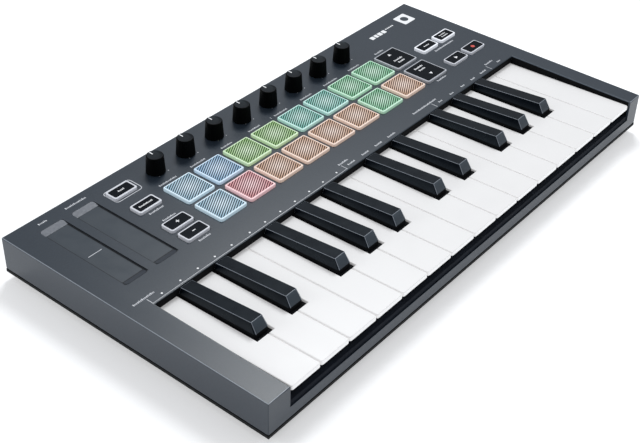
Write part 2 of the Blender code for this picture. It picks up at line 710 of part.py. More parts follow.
def make_knob(name, x, material):
    """Tapered cap with a blind bore, turned about the pot shaft."""
    bore = SHAFT_R + GAP
    profile = [(0.0, KNOB_RISE), (KNOB_TOP_R - KNOB_EDGE, KNOB_RISE), (KNOB_TOP_R, KNOB_RISE - KNOB_EDGE),
               (KNOB_BASE_R, KNOB_LIFT), (bore, KNOB_LIFT), (bore, BORE_ROOF), (0.0, BORE_ROOF)]
    outline = bmesh.new()
    points = [outline.verts.new((r, 0.0, z)) for r, z in profile]
    for upper, lower in zip(points, points[1:]):
        outline.edges.new((upper, lower))
    mesh = bpy.data.meshes.new(name)
    outline.to_mesh(mesh)
    outline.free()
    knob = add_object(name, mesh, PARTS, material)
    knob.location = (x, KNOB_Y, PANEL_Z)
    turn = knob.modifiers.new("turn", "SCREW")
    turn.axis = "Z"
    turn.angle = 2 * math.pi
    turn.steps = KNOB_STEPS
    turn.render_steps = KNOB_STEPS
    turn.use_merge_vertices = True
    turn.merge_threshold = 1e-5
    return knob


# ---- build ----------------------------------------------------------------------------------
def build():
    grey = plastic("grey_case", (0.075, 0.090, 0.105), 0.48)
    black = plastic("black_case", (0.012, 0.013, 0.015), 0.55)
    frame = plastic("chassis_black", (0.010, 0.012, 0.016), 0.60)
    board = plastic("circuit_board", (0.020, 0.120, 0.060), 0.45)
    ivory = plastic("white_key", (0.850, 0.850, 0.860), 0.25)
    ebony = plastic("black_key", (0.014, 0.016, 0.020), 0.30)
    knob = plastic("knob_black", (0.008, 0.009, 0.010), 0.45)
    cap = plastic("button_cap", (0.350, 0.360, 0.380), 0.40)
    make_top_case(grey)
    make_bottom_case(black)
    make_key_chassis(frame)
    make_main_board(board)
    letters = "cdefgab"
    for index in range(KEY_COUNT):
        octave = index // WHITES_PER_OCTAVE + 1
        make_white_key(index, f"key_{letters[index % WHITES_PER_OCTAVE]}_{octave}", ivory)
    for name, middle in black_keys():
        make_black_key(name, middle, ebony)
    for column in range(PAD_COLUMNS):
        make_knob(f"knob_{column + 1}", grid_x(column), knob)
        for row, y in pad_rows().items():
            tint = PAD_TINTS[row][column]
            rubber = plastic(f"pad_{row}_{column + 1}_rubber", tint, 0.55)
            make_pad(f"pad_{row}_{column + 1}", (grid_x(column), y), rubber)
    for name, centre, width, depth in single_buttons():
        make_cap(name, centre, (width, depth, CAP_ROUND, CAP_RISE), cap)
    for name, centres in rocker_buttons():
        make_rocker(name, centres, cap)


empty_scene()
PARTS = new_collection("midi_keyboard")
CUTTERS = new_collection("cutters")
build()
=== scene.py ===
"""The looks of the keyboard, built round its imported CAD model.

Lengths are in metres, and only the prints' places on the panel are in millimetres.
X runs along the keys, Y from the player to the rear, Z up.
"""

import json
import math

import bmesh
import bpy
from mathutils import Matrix, Vector


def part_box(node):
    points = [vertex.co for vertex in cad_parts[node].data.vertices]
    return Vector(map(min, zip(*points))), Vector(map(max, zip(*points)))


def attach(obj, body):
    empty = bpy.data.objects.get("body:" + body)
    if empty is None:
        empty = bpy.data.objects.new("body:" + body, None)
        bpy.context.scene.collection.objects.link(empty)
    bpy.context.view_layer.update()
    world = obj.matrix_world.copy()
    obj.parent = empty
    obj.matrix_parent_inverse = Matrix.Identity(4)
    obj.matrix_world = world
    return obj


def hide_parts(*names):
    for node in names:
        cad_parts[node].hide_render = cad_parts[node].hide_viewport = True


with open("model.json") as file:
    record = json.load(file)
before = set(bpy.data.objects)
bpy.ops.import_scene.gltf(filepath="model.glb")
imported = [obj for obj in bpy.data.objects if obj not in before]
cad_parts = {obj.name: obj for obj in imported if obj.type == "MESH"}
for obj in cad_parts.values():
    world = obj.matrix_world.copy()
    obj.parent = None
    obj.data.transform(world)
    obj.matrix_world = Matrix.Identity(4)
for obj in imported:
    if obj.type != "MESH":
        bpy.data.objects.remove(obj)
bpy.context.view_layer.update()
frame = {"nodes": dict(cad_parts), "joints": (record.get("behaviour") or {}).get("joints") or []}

# ---- places taken from the frame ----
CASE_LOW, CASE_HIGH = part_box("top_case")
LEFT, FRONT, CASE_Z = CASE_LOW
RIGHT, REAR, PANEL_Z = CASE_HIGH
JOINT_OF = {joint["child"]: joint for joint in frame["joints"]}


def left_side(node):
    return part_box(node)[0].x


KEYS = sorted((n for n in frame["nodes"] if n.startswith("key_") and n in JOINT_OF), key=left_side)
WHITE_KEYS = [n for n in KEYS if "_sharp_" not in n]
BLACK_KEYS = [n for n in KEYS if "_sharp_" in n]
CASE = "case"

# ---- the case: sizes the frame doesn't give ----
EDGE_ROUND = 0.0005         # outer edges of the grey shell
FOOT_PAD = 0.0006           # rubber disc under each moulded foot
FOOT_PAD_R = 0.0062
FOOT_PAD_EDGE = 0.0003
FOOT_X = 0.148
FOOT_Y = 0.069
POST_COLUMNS = (-0.138, 0.0, 0.138)
POST_ROWS = (FRONT + 0.022, FRONT + 0.085, FRONT + 0.149)
SCREW_HEAD_LOW = 0.0017
SCREW_HEAD_TOP = 0.0028
SCREW_TIP = 0.0074
SCREW_HEAD_R = 0.0027
SCREW_SHANK_R = 0.0013
SCREW_EDGE = ((0.0, 0.0005), (0.0003, 0.0001), (0.0006, 0.0))   # inset and height over its lowest face
CROSS_MOUTH = (0.0014, 0.0004)      # reach and half width of the cross recess
CROSS_FLOOR = (0.0009, 0.0003)
CROSS_DEPTH = 0.0008
BOARD_Z = CASE_Z + 0.0120
BOARD_T = 0.0016
SOCKET_Z = CASE_Z + 0.0068
USB_X = LEFT + 0.060
USB_W = 0.0120
TONGUE_HALF = (0.0030, 0.0018)
CONTACT_X = 0.0013
CONTACT_HALF = 0.0005
CONTACT_DEEP = 0.0090
CONTACT_NEAR = 0.0020
CONTACT_T = 0.0001
JACK_X = LEFT + 0.086
JACK_BORE = 0.00325
JACK_RING_R = 0.0042
MIDI_X = LEFT + 0.108
MIDI_BORE = 0.0018
MIDI_RING_R = 0.0029
SOCKET_RING = 0.0009        # width of the metal ring round a jack
SOCKET_RING_T = 0.0004
BED_LEFT = LEFT + 0.0142
BED_RIGHT = LEFT + 0.3187
BED_REAR = FRONT + 0.0815
LINER_T = 0.00018
LINER_LOW = CASE_Z + 0.0075

# ---- the touch strips ----
STRIP_LEFTS = (LEFT + 0.0146, LEFT + 0.0347)
STRIP_W = 0.0148
STRIP_FRONT = FRONT + 0.1005
STRIP_REAR = FRONT + 0.1615
STRIP_DEPTH = 0.0009
STRIP_FRONT_RAMP = 0.0033
STRIP_REAR_RAMP = 0.0045
STRIP_CORNER = 0.0018
# Width of the dark border of painted shade that the film leaves bare along the recess walls.
FILM_BORDER = 0.0009
FILM_SPACE = 0.0001
FILM_T = 0.00006
FILM_SINK = 0.00005
FILM_END_GAP = 0.0002
FILM_FOLD = (0.0003, 0.0004)    # before and behind the fold at the front of the floor

# ---- the keys ----
KEY_FRONT = FRONT + 0.0009
KEY_FRONT_Z = PANEL_Z - 0.0023
KEY_REAR_Z = PANEL_Z - 0.0048
KEY_PLATE = 0.0023
KEY_SLOPE = math.atan2(KEY_FRONT_Z - KEY_REAR_Z, BED_REAR - KEY_FRONT)
KEY_CORNER = 0.0011
KEY_EDGE = 0.0005
KEY_SWELL = 0.00002         # the caps show a little narrower gaps than the CAD keys leave
KEY_TAIL = 0.0022
PIVOT_R = 0.0017
BARREL_L = 0.007
RIB_HALF = 0.0012
RIB_DEPTH = 0.0014
RIB_TOP = 0.0008
RIB_REAR = -0.006
WHITE_RIB_FRONT = -0.080
BLACK_RIB_FRONT = -0.056
BLACK_HEAD = FRONT + 0.0317
BLACK_SPACE = 0.00045
BLACK_NOSE = (FRONT + 0.0340, PANEL_Z - 0.0019)
BLACK_TOP = (FRONT + 0.0372, PANEL_Z + 0.0033)
BLACK_TOP_REAR_Z = PANEL_Z - 0.0006
BLACK_REAR_SPACE = 0.0003
BLACK_FOOT_LOW = 0.0009     # how far the foot of a black key stays under the white keys
BLACK_TAIL = (0.004, 0.0015, 0.0021)    # half width, overlap with the foot, thickness
BLACK_OVERLAP = 0.0002      # the cap starts this far inside its foot
BLACK_EDGE = 0.00018
# Level cuts through a black key: half width, half width of the nose, depth of the nose's corners.
FOOT_SHAPE = (0.00525, 0.0048, 0.0004)
BASE_SHAPE = (0.00475, 0.0040, 0.0008)
NOSE_SHAPE = (0.00470, 0.0039, 0.0008)
TOP_SHAPE = (0.00375, 0.0035, 0.0003)

# ---- the pads, buttons and knobs ----
FLANGE_EDGE = 0.0011        # how far a pad's or button's flange reaches past its cap
FLANGE_T = 0.0013
PAD_CORNER = 0.0010
PAD_EDGE = 0.0004
PAD_RIM = 0.0009
PAD_CROWN = 0.0001
CAP_CORNER = 0.0012
CAP_EDGE = 0.0003
CAP_W = 0.0154
CAP_D = 0.0084
FACE_RISE = 0.00006
FACE_SINK = 0.0002
FACE_INSET = 0.0010
LARGE_FACE_INSET = 0.0008
TRANSPORT_INSET = 0.0007
WEB_ALONG_X = (0.0184, 0.0050)
WEB_ALONG_Y = (0.0050, 0.0112)
KNOBS = 8
KNOB_TOP_R = 0.0047
KNOB_FLUTES = 32
FLUTE_POINTS = 6
FLUTE_DEPTH = 0.00014
KNOB_EDGE = 0.0005
KNOB_DISH = 0.00025
POINTER_HALF = 0.00022
POINTER_START = 0.0015
PRINT_RISE = 0.00004
LABEL_H = 0.0013
SMALL_LABEL_H = 0.0012
CORNER_STEPS = 5

# ---- colours ----
IVORY = (0.725, 0.717, 0.718)
BLUISH = (0.68, 0.86, 1.0, 1.0)
SOFTBOX_TINT = (0.955, 0.985, 1.0)

# ---- the lit pads: lines per metre along X and Y, then dark and bright colours ----
LINES_X = 420.0
LINES_Y = -720.0
LINES_START = math.radians(110)
PAD_TINTS = {
    "blue": ("#031c2c", "#b6dbee"),
    "sky": ("#031c38", "#a8d0ee"),
    "green": ("#0d2a02", "#b0dd92"),
    "teal": ("#002b24", "#90d9cc"),
    "mint": ("#002d14", "#94dcae"),
    "rose": ("#3d0007", "#f5b0b5"),
    "sand": ("#2b1201", "#eabfa2"),
}
PAD_COLOURS = {
    "rear": ("blue", "sky", "green", "green", "teal", "teal", "mint", "mint"),
    "front": ("blue", "rose", "sand", "sand", "sand", "sand", "mint", "sand"),
}


# ---- materials ----
def linear(code):
    """Scene-linear colour of a hex colour code."""
    channels = [int(code[i:i + 2], 16) / 255 for i in (1, 3, 5)]
    return tuple(c / 12.92 if c <= 0.04045 else ((c + 0.055) / 1.055) ** 2.4 for c in channels)


def blend_colours(a, b, share):
    return tuple(x + (y - x) * share for x, y in zip(a, b))


class Surface:
    """One procedural material, whose nodes are added step by step."""

    def __init__(self, name, colour, roughness, metallic=0.0):
        self.material = bpy.data.materials.new(name)
        self.material.use_nodes = True
        self.nodes = self.material.node_tree.nodes
        self.links = self.material.node_tree.links
        self.shader = self.nodes["Principled BSDF"]
        self.colour = colour
        self.roughness = roughness
        self.shader.inputs["Base Color"].default_value = (*colour, 1.0)
        self.shader.inputs["Roughness"].default_value = roughness
        self.shader.inputs["Metallic"].default_value = metallic
        self.place = self.nodes.new("ShaderNodeTexCoord").outputs["Object"]

    def noise(self, size, detail=2.0):
        """A noise whose features are about size metres across."""
        texture = self.nodes.new("ShaderNodeTexNoise")
        texture.inputs["Scale"].default_value = 1.0 / size
        texture.inputs["Detail"].default_value = detail
        self.links.new(self.place, texture.inputs["Vector"])
        return texture.outputs["Fac"]

    def maths(self, operation, a, b=0.0):
        node = self.nodes.new("ShaderNodeMath")
        node.operation = operation
        for socket, value in zip(node.inputs, (a, b)):
            if isinstance(value, (int, float)):
                socket.default_value = value
            else:
                self.links.new(value, socket)
        return node.outputs[0]

    def mix(self, factor, low, high):
        """A colour between low and high, each a colour or a socket."""
        node = self.nodes.new("ShaderNodeMix")
        node.data_type = "RGBA"
        self.links.new(factor, node.inputs[0])
        for socket, value in ((node.inputs[6], low), (node.inputs[7], high)):
            if isinstance(value, tuple):
                socket.default_value = (*value, 1.0)
            else:
                self.links.new(value, socket)
        return node.outputs[2]

    def span(self, value, low, high, from_low=0.3, from_high=0.7):
        node = self.nodes.new("ShaderNodeMapRange")
        node.inputs["From Min"].default_value = from_low
        node.inputs["From Max"].default_value = from_high
        node.inputs["To Min"].default_value = low
        node.inputs["To Max"].default_value = high
        self.links.new(value, node.inputs["Value"])
        return node.outputs["Result"]

    def mottle(self, amount, size):
        """Slight, slow changes of colour and gloss, as moulded plastic has."""
        cloud = self.span(self.noise(size), 0.0, 1.0)
        dark = tuple(c * (1 - amount) for c in self.colour)
        light = tuple(c * (1 + amount) for c in self.colour)
        self.links.new(self.mix(cloud, dark, light), self.shader.inputs["Base Color"])
        gloss = self.span(self.noise(size / 3), self.roughness - 0.04, self.roughness + 0.04)
        self.links.new(gloss, self.shader.inputs["Roughness"])
        return self

    def grain(self, size, depth, strength=0.6):
        """The fine spark-eroded texture of a moulded surface."""
        bump = self.nodes.new("ShaderNodeBump")
        bump.inputs["Strength"].default_value = strength
        bump.inputs["Distance"].default_value = depth
        self.links.new(self.noise(size), bump.inputs["Height"])
        self.links.new(bump.outputs["Normal"], self.shader.inputs["Normal"])
        return self

    def glow(self, colour, strength):
        self.shader.inputs["Emission Color"].default_value = (*colour, 1.0)
        self.shader.inputs["Emission Strength"].default_value = strength
        return self

    def set(self, **inputs):
        for name, value in inputs.items():
            self.shader.inputs[name.replace("_", " ")].default_value = value
        return self


def pad_face(name, dark, bright):
    """Frosted silicone lit from below, with fine slanted lines that pale towards the middle."""
    surface = Surface(name, bright, 0.5)
    split = surface.nodes.new("ShaderNodeSeparateXYZ")
    surface.links.new(surface.place, split.inputs[0])
    x, y, _ = split.outputs
    across = surface.maths("ADD", surface.maths("MULTIPLY", x, 2 * math.pi * LINES_X),
                           surface.maths("MULTIPLY", y, 2 * math.pi * LINES_Y))
    wave = surface.maths("COSINE", surface.maths("ADD", across, LINES_START))
    lines = surface.span(wave, 0.0, 1.0, -0.30, 0.40)
    distance = surface.maths("SQRT", surface.maths("ADD", surface.maths("MULTIPLY", x, x),
                                                   surface.maths("MULTIPLY", y, y)))
    edge = surface.span(distance, 0.0, 1.0, 0.0010, 0.0100)
    dark_middle = blend_colours(dark, bright, 0.08)
    bright_middle = blend_colours(bright, (1.0, 1.0, 1.0), 0.50)
    bright_corner = blend_colours(dark, bright, 0.70)
    colour = surface.mix(lines, surface.mix(edge, dark_middle, dark),
                         surface.mix(edge, bright_middle, bright_corner))
    surface.links.new(colour, surface.shader.inputs["Base Color"])
    surface.links.new(colour, surface.shader.inputs["Emission Color"])
    surface.grain(0.0002, 0.00002).set(Specular_IOR_Level=0.15, Emission_Strength=0.23)
    return surface.material


def finish(name, colour, roughness, mottle, grain=None, glow=None, gloss=None, tint=None, metallic=0.0):
    """A finish from a colour or its hex code; gloss and tint change how strongly and how it shines."""
    rgb = linear(colour) if isinstance(colour, str) else colour
    surface = Surface(name, rgb, roughness, metallic).mottle(*mottle)
    if grain:
        surface.grain(*grain)
    if glow:
        light, strength = glow
        surface.glow(linear(light) if isinstance(light, str) else light, strength)
    if gloss is not None:
        surface.set(Specular_IOR_Level=gloss)
    if tint:
        surface.set(Specular_Tint=tint)
    return surface.material


def make_materials():
    """Every finish by name: colour, roughness, mottle as amount and size, grain as size and depth."""
    soft = (0.0002, 0.00001)
    key_grain = (0.0006, 0.000003, 0.3)
    ivory_grain = (0.0004, 0.000001, 0.3)
    materials = {
        "slate": finish("slate_case", "#2b3540", 0.33, (0.08, 0.0009), (0.00035, 0.00003)),
        # Light grey for the upper part of the outer edges: a painted highlight.
        "slate_painted_highlight": finish("slate_case_painted_highlight", "#969da6", 0.30, (0.06, 0.002)),
        # Paler grey for the keybed's side edges: a softer painted highlight.
        "slate_soft_painted_highlight": finish("slate_case_soft_painted_highlight", "#4f5862", 0.33, (0.06, 0.002)),
        "film": finish("touch_film", "#303a44", 0.35, (0.03, 0.02), soft),
        # Near black round the touch strips: painted shade along the recess walls.
        "recess_painted_shade": finish("strip_border_painted_shade", "#191e25", 0.45, (0.03, 0.004), gloss=0.3),
        # Darker film on the front ramp, which faces away from the light: painted shade.
        "ramp_front_painted_shade": finish("strip_front_film_painted_shade", "#2d343e", 0.40, (0.03, 0.004)),
        # Paler film on the rear ramp, which faces the light: painted light.
        "ramp": finish("strip_end_film_painted_light", "#555a65", 0.45, (0.04, 0.004), soft),
        "tray": finish("black_tray", "#0b0e11", 0.65, (0.10, 0.002), (0.0004, 0.00004), gloss=0.2),
        "chassis": finish("chassis_black", "#10161f", 0.80, (0.10, 0.02), (0.0004, 0.00003),
                          gloss=0.12),
        # Matte black for painted shade: the sheet round the keybed, the black keys' feet and their
        # lowest band.
        "painted_shade_black": finish("bed_liner_painted_shade", "#07090c", 0.80, (0.10, 0.01), (0.0003, 0.00003), gloss=0.12),
        # The white keys glow a little, to lift the shade on them: painted light.
        "ivory": finish("white_key", IVORY, 0.34, (0.006, 0.05), ivory_grain,
                        glow=((1.0, 0.99, 0.985), 0.205)),
        # Stronger glow on the key fronts, for light bounced from the floor: painted light.
        "ivory_front_painted_bounce": finish("white_key_front_painted_bounce", IVORY, 0.34, (0.006, 0.05), ivory_grain,
                              glow=((0.95, 0.98, 1.0), 0.27)),
        "ebony": finish("black_key", "#050a12", 0.30, (0.06, 0.02), key_grain, gloss=0.20, tint=BLUISH),
        # Lighter copy of the black finish for the lit nose faces: painted light.
        "ebony_nose_painted_light": finish("black_key_nose_painted_light", "#282e36", 0.30, (0.06, 0.02), key_grain,
                             gloss=0.4, tint=BLUISH),
        # Pale grey for the ridges of the black keys: a painted highlight.
        "ebony_painted_highlight": finish("black_key_painted_highlight", "#828993", 0.30, (0.08, 0.002)),
        "knob": finish("knob_black", "#030405", 0.50, (0.12, 0.002), soft, gloss=0.04),
        # Lighter than the knob's sides, as lit from above: painted light.
        "knob_top_painted_light": finish("knob_top_painted_light", "#0c0d11", 0.50, (0.08, 0.002), soft, gloss=0.2, tint=BLUISH),
        "body": finish("button_body", "#dfe1e8", 0.35, (0.03, 0.004), glow=("#e9eef7", 0.05)),
        "body_grey": finish("button_body_grey", "#c0c3ca", 0.38, (0.03, 0.004)),
        "body_lit": finish("button_body_lit", "#e9ebf0", 0.35, (0.02, 0.004), glow=("#e9eef7", 0.30)),
        "face": finish("button_face", "#060910", 0.40, (0.08, 0.002), (0.0003, 0.000004, 0.3),
                       gloss=0.08, tint=BLUISH),
        "ink": finish("pale_print", "#dcdee3", 0.5, (0.04, 0.002)),
        "ink_bright": finish("white_print", "#f2f3f5", 0.5, (0.03, 0.002), glow=("#f2f3f5", 0.08)),
        # The pointer glows, though it is no lamp: painted light.
        "pointer": finish("knob_pointer_painted_glow", "#f5f6f8", 0.5, (0.02, 0.002), glow=("#f5f6f8", 0.35)),
        "red": finish("red_print", "#c2463c", 0.5, (0.05, 0.001), glow=("#d2463c", 0.25)),
        "rubber": finish("foot_rubber", "#191a1c", 0.8, (0.12, 0.002), (0.0003, 0.00006)),
        "screw": finish("screw_steel", "#3a3c40", 0.38, (0.10, 0.002), metallic=0.9),
        "metal": finish("socket_metal", "#a6a9ae", 0.30, (0.05, 0.003), metallic=1.0),
        "gold": finish("contact_gold", "#c9a45c", 0.30, (0.05, 0.002), metallic=1.0),
        "socket": finish("socket_plastic", "#101113", 0.45, (0.10, 0.003), (0.0003, 0.00002)),
        "board": finish("circuit_board", "#1d4a35", 0.42, (0.14, 0.003), (0.0006, 0.00002)),
    }
    white = (1.0, 1.0, 1.0)
    for tint, codes in PAD_TINTS.items():
        dark, bright = (linear(code) for code in codes)
        rim = finish(f"pad_{tint}_rim", blend_colours(bright, white, 0.45), 0.42, (0.04, 0.003),
                     glow=(blend_colours(bright, white, 0.1), 0.22))
        materials[tint] = (rim, pad_face(f"pad_{tint}_face", dark, bright))
    return materials


# ---- mesh helpers ----
def add_object(name, data):
    thing = bpy.data.objects.new(name, data)
    bpy.context.scene.collection.objects.link(thing)
    return thing


def new_piece(name, shell, body, materials):
    """An object from a bmesh, shaded smooth between its sharp edges, that rides on a body."""
    mesh = bpy.data.meshes.new(name)
    bmesh.ops.recalc_face_normals(shell, faces=shell.faces)
    shell.to_mesh(mesh)
    shell.free()
    for material in materials:
        mesh.materials.append(material)
    mesh.shade_smooth()
    mesh.set_sharp_from_angle(angle=math.radians(35))
    piece = add_object(name, mesh)
    piece.modifiers.new("flat_faces_stay_flat", "WEIGHTED_NORMAL").keep_sharp = True
    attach(piece, body)
    return piece


def corner_arc(x, y, radius, start):
    """A quarter of a circle, anticlockwise; start is in half turns."""
    turn = [math.pi * (start + 0.5 * step / CORNER_STEPS) for step in range(CORNER_STEPS + 1)]
    return [(x + radius * math.cos(a), y + radius * math.sin(a)) for a in turn]


def rounded_ring(sides, radius, z):
    """Points of a rectangle with round corners at height z, anticlockwise."""
    x0, x1, y0, y1 = grow(sides, -radius)
    points = []
    for x, y, start in ((x1, y1, 0.0), (x0, y1, 0.5), (x0, y0, 1.0), (x1, y0, 1.5)):
        points += corner_arc(x, y, radius, start)
    return [(x, y, z) for x, y in points]


def grow(sides, amount):
    x0, x1, y0, y1 = sides
    return x0 - amount, x1 + amount, y0 - amount, y1 + amount


def about(x, y, width, depth):
    return x - width / 2, x + width / 2, y - depth / 2, y + depth / 2


def centre_of(sides):
    return (sides[0] + sides[1]) / 2, (sides[2] + sides[3]) / 2


def sides_of(node):
    low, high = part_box(node)
    return low.x, high.x, low.y, high.y


def skin(shell, rings, hollow=False):
    """Quads between rings of points, then caps at both ends, or quads from the last to the first."""
    loops = [[shell.verts.new(point) for point in ring] for ring in rings]
    count = len(loops[0])
    pairs = list(zip(loops, loops[1:]))
    if hollow:
        pairs.append((loops[-1], loops[0]))
    for lower, upper in pairs:
        for i in range(count):
            j = (i + 1) % count
            shell.faces.new((lower[i], lower[j], upper[j], upper[i]))
    if not hollow:
        shell.faces.new(list(reversed(loops[0])))
        shell.faces.new(loops[-1])
    return loops


def quarter_round(edge, steps=3):
    """Inset and drop of the points that round an edge, from its side to its top."""
    turn = [math.pi / 2 * step / steps for step in range(1, steps + 1)]
    return [(edge * (1 - math.cos(a)), edge * (1 - math.sin(a))) for a in turn]


def soft_block(shell, sides, corner, low, high, edge, edge_steps=3):
    """A block with round corners and a rounded upper edge."""
    rings = [rounded_ring(sides, corner, low), rounded_ring(sides, corner, high - edge)]
    for inset, drop in quarter_round(edge, edge_steps):
        rings.append(rounded_ring(grow(sides, -inset), corner - inset, high - drop))
    skin(shell, rings)


def plate(shell, sides, low, high):
    """A plain block, for prints, linings and ribs."""
    x0, x1, y0, y1 = sides
    skin(shell, [[(x0, y0, z), (x1, y0, z), (x1, y1, z), (x0, y1, z)] for z in (low, high)])


def circle(x, y, radius, z, steps=32, start=0.0):
    turn = [start + 2 * math.pi * i / steps for i in range(steps)]
    return [(x + radius * math.cos(a), y + radius * math.sin(a), z) for a in turn]


def disc(shell, x, y, radius, low, high, steps=24, start=0.0):
    skin(shell, [circle(x, y, radius, z, steps, start) for z in (low, high)])


def frame_ring(shell, sides, corner, width, low, high):
    """A flat rounded frame of the given line width."""
    outer = [rounded_ring(sides, corner, z) for z in (low, high)]
    inner = [rounded_ring(grow(sides, -width), corner - width, z) for z in (high, low)]
    skin(shell, outer + inner, hollow=True)


def label(shell, x, y, length, height, z):
    """A row of plain short bars, where the real object has a printed word."""
    widths = (0.9, 0.6, 0.7, 1.0, 0.6, 0.8)
    heights = (1.0, 0.72, 0.72, 0.72, 1.0, 0.72)
    space = 0.5
    unit = 0.55 * height
    x0 = x - length / 2
    end = x + length / 2
    y0 = y - height / 2
    index = 0
    while x0 < end - 0.3 * unit:
        width = min(widths[index % len(widths)] * unit, end - x0)
        tall = heights[index % len(heights)] * height
        plate(shell, (x0, x0 + width, y0, y0 + tall), z, z + PRINT_RISE)
        x0 += width + space * unit
        index += 1


def profile_ring(radius, z, steps, flutes=0, depth=0.0):
    """A circle round the origin, with shallow flutes if asked for."""
    points = []
    for i in range(steps):
        angle = 2 * math.pi * i / steps
        cut = depth * (0.5 - 0.5 * math.cos(flutes * angle))
        points.append(((radius - cut) * math.cos(angle), (radius - cut) * math.sin(angle), z))
    return points


# ---- the case ----
def shell_of(node, name, m, finishes, finish_at=None):
    """The CAD node's own shape, welded, with the finish of each face chosen by its place.

    The tray's feet are shortened, to make room for the rubber discs under them.
    """
    shell = bmesh.new()
    shell.from_mesh(frame["nodes"][node].data)
    bmesh.ops.remove_doubles(shell, verts=shell.verts, dist=1e-6)
    bmesh.ops.dissolve_limit(shell, angle_limit=math.radians(0.5), verts=shell.verts, edges=shell.edges)
    if node == "bottom_case":
        for vert in shell.verts:
            vert.co.z = max(vert.co.z, FOOT_PAD)
    if finish_at:
        for face in shell.faces:
            face.material_index = finishes.index(finish_at(face.calc_center_median(), face.normal))
    piece = new_piece(name, shell, CASE, [m[key] for key in finishes])
    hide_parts(node)


def shell_finish(place, normal):
    """Painted highlight on the upper part of the outer edges and of the keybed's side edges, painted
    shade on the walls round the touch strips, slate elsewhere.
    """
    slanted = normal.z < 0.97
    to_edge = min(place.x - LEFT, RIGHT - place.x, place.y - FRONT)
    # Upper part of the outer edges, but not the rear one: painted highlight.
    if to_edge < EDGE_ROUND and slanted and normal.z > 0.6 and abs(normal.y) < 0.6:
        return "slate_painted_highlight"
    # Upper part of the keybed's side edges: a softer painted highlight.
    to_bed = min(abs(place.x - BED_LEFT), abs(place.x - BED_RIGHT))
    if to_bed < 2 * EDGE_ROUND and place.y < BED_REAR and slanted and normal.z > 0.3:
        return "slate_soft_painted_highlight"
    # Walls of the touch-strip recesses, dark as painted shade.
    shaded_recess_wall = abs(normal.x) > 0.2 and normal.z > -0.1
    at_recess = STRIP_FRONT < place.y < STRIP_REAR and PANEL_Z - 2 * STRIP_DEPTH < place.z < PANEL_Z
    for left in STRIP_LEFTS:
        beside = left - EDGE_ROUND < place.x < left + STRIP_W + EDGE_ROUND
        if beside and at_recess and shaded_recess_wall:
            return "recess_painted_shade"
    return "slate"


def board_finish(place, normal):
    """Metal on the USB socket, the pots and the jack bores, rubber contacts, black plastic below."""
    play = 0.0001
    contact_rise = 0.0012
    top = BOARD_Z + BOARD_T
    if place.z > top + contact_rise:
        return "metal"
    if place.z > top + play:
        return "rubber"
    if place.z > BOARD_Z - play:
        return "board"
    usb_x = abs(place.x - USB_X)
    if usb_x < USB_W / 2 + EDGE_ROUND:
        on_tongue = usb_x < TONGUE_HALF[0] and abs(place.z - SOCKET_Z) < TONGUE_HALF[1]
        return "socket" if on_tongue else "metal"
    for x, bore in ((JACK_X, JACK_BORE), (MIDI_X, MIDI_BORE)):
        if math.hypot(place.x - x, place.z - SOCKET_Z) < bore and abs(normal.y) < 0.5:
            return "metal"
    return "socket"


def make_case(m):
    shell_finishes = ["slate", "slate_painted_highlight", "slate_soft_painted_highlight", "recess_painted_shade"]
    shell_of("top_case", "top_shell", m, shell_finishes, shell_finish)
    shell_of("bottom_case", "bottom_tray", m, ["tray"])
    shell_of("key_chassis", "key_frame", m, ["chassis"])
    shell_of("main_board", "circuit_board", m, ["board", "socket", "metal", "rubber"], board_finish)
    make_liner(m["painted_shade_black"])
    make_feet(m["rubber"])
    make_screws(m["screw"])
    make_socket_trim(m)
    for side, left in zip(("pitch", "modulation"), STRIP_LEFTS):
        make_strip(side, left, m)


def make_liner(material):
    """Black sheet on the cut edge of the grey shell all round the keybed, reaching down over the keys
    under the panel: painted shade.
    """
    top = PANEL_Z - 0.0006
    rear_low = KEY_REAR_Z + 0.0004
    side_space = 0.001
    rear_sides = (BED_LEFT + side_space, BED_RIGHT - side_space, BED_REAR - LINER_T, BED_REAR)
    shell = bmesh.new()
    plate(shell, rear_sides, rear_low, top)
    for x0, x1 in ((BED_LEFT, BED_LEFT + LINER_T), (BED_RIGHT - LINER_T, BED_RIGHT)):
        plate(shell, (x0, x1, FRONT + 0.0012, BED_REAR), LINER_LOW, top)
    new_piece("keybed_liner", shell, CASE, [material])


def make_feet(material):
    """A soft rubber disc under each moulded foot."""
    profile = [(FOOT_PAD_R, FOOT_PAD), (FOOT_PAD_R, FOOT_PAD_EDGE)]
    profile += [(FOOT_PAD_R - inset, drop) for inset, drop in quarter_round(FOOT_PAD_EDGE)]
    for side_x, x in (("left", -FOOT_X), ("right", FOOT_X)):
        for side_y, y in (("front", -FOOT_Y), ("rear", FOOT_Y)):
            shell = bmesh.new()
            skin(shell, [circle(x, y, radius, z) for radius, z in profile])
            new_piece(f"foot_pad_{side_y}_{side_x}", shell, CASE, [material])


def cross_ring(x, y, reach, half, z):
    """Outline of a cross recess, anticlockwise."""
    middle = (reach + half) / 2
    arm = ((half, -half), (middle, -half), (reach, -half), (reach, half), (middle, half))
    points = []
    for cos, sin in ((1, 0), (0, 1), (-1, 0), (0, -1)):
        for along, across in arm:
            points.append((x + along * cos - across * sin, y + along * sin + across * cos, z))
    return points


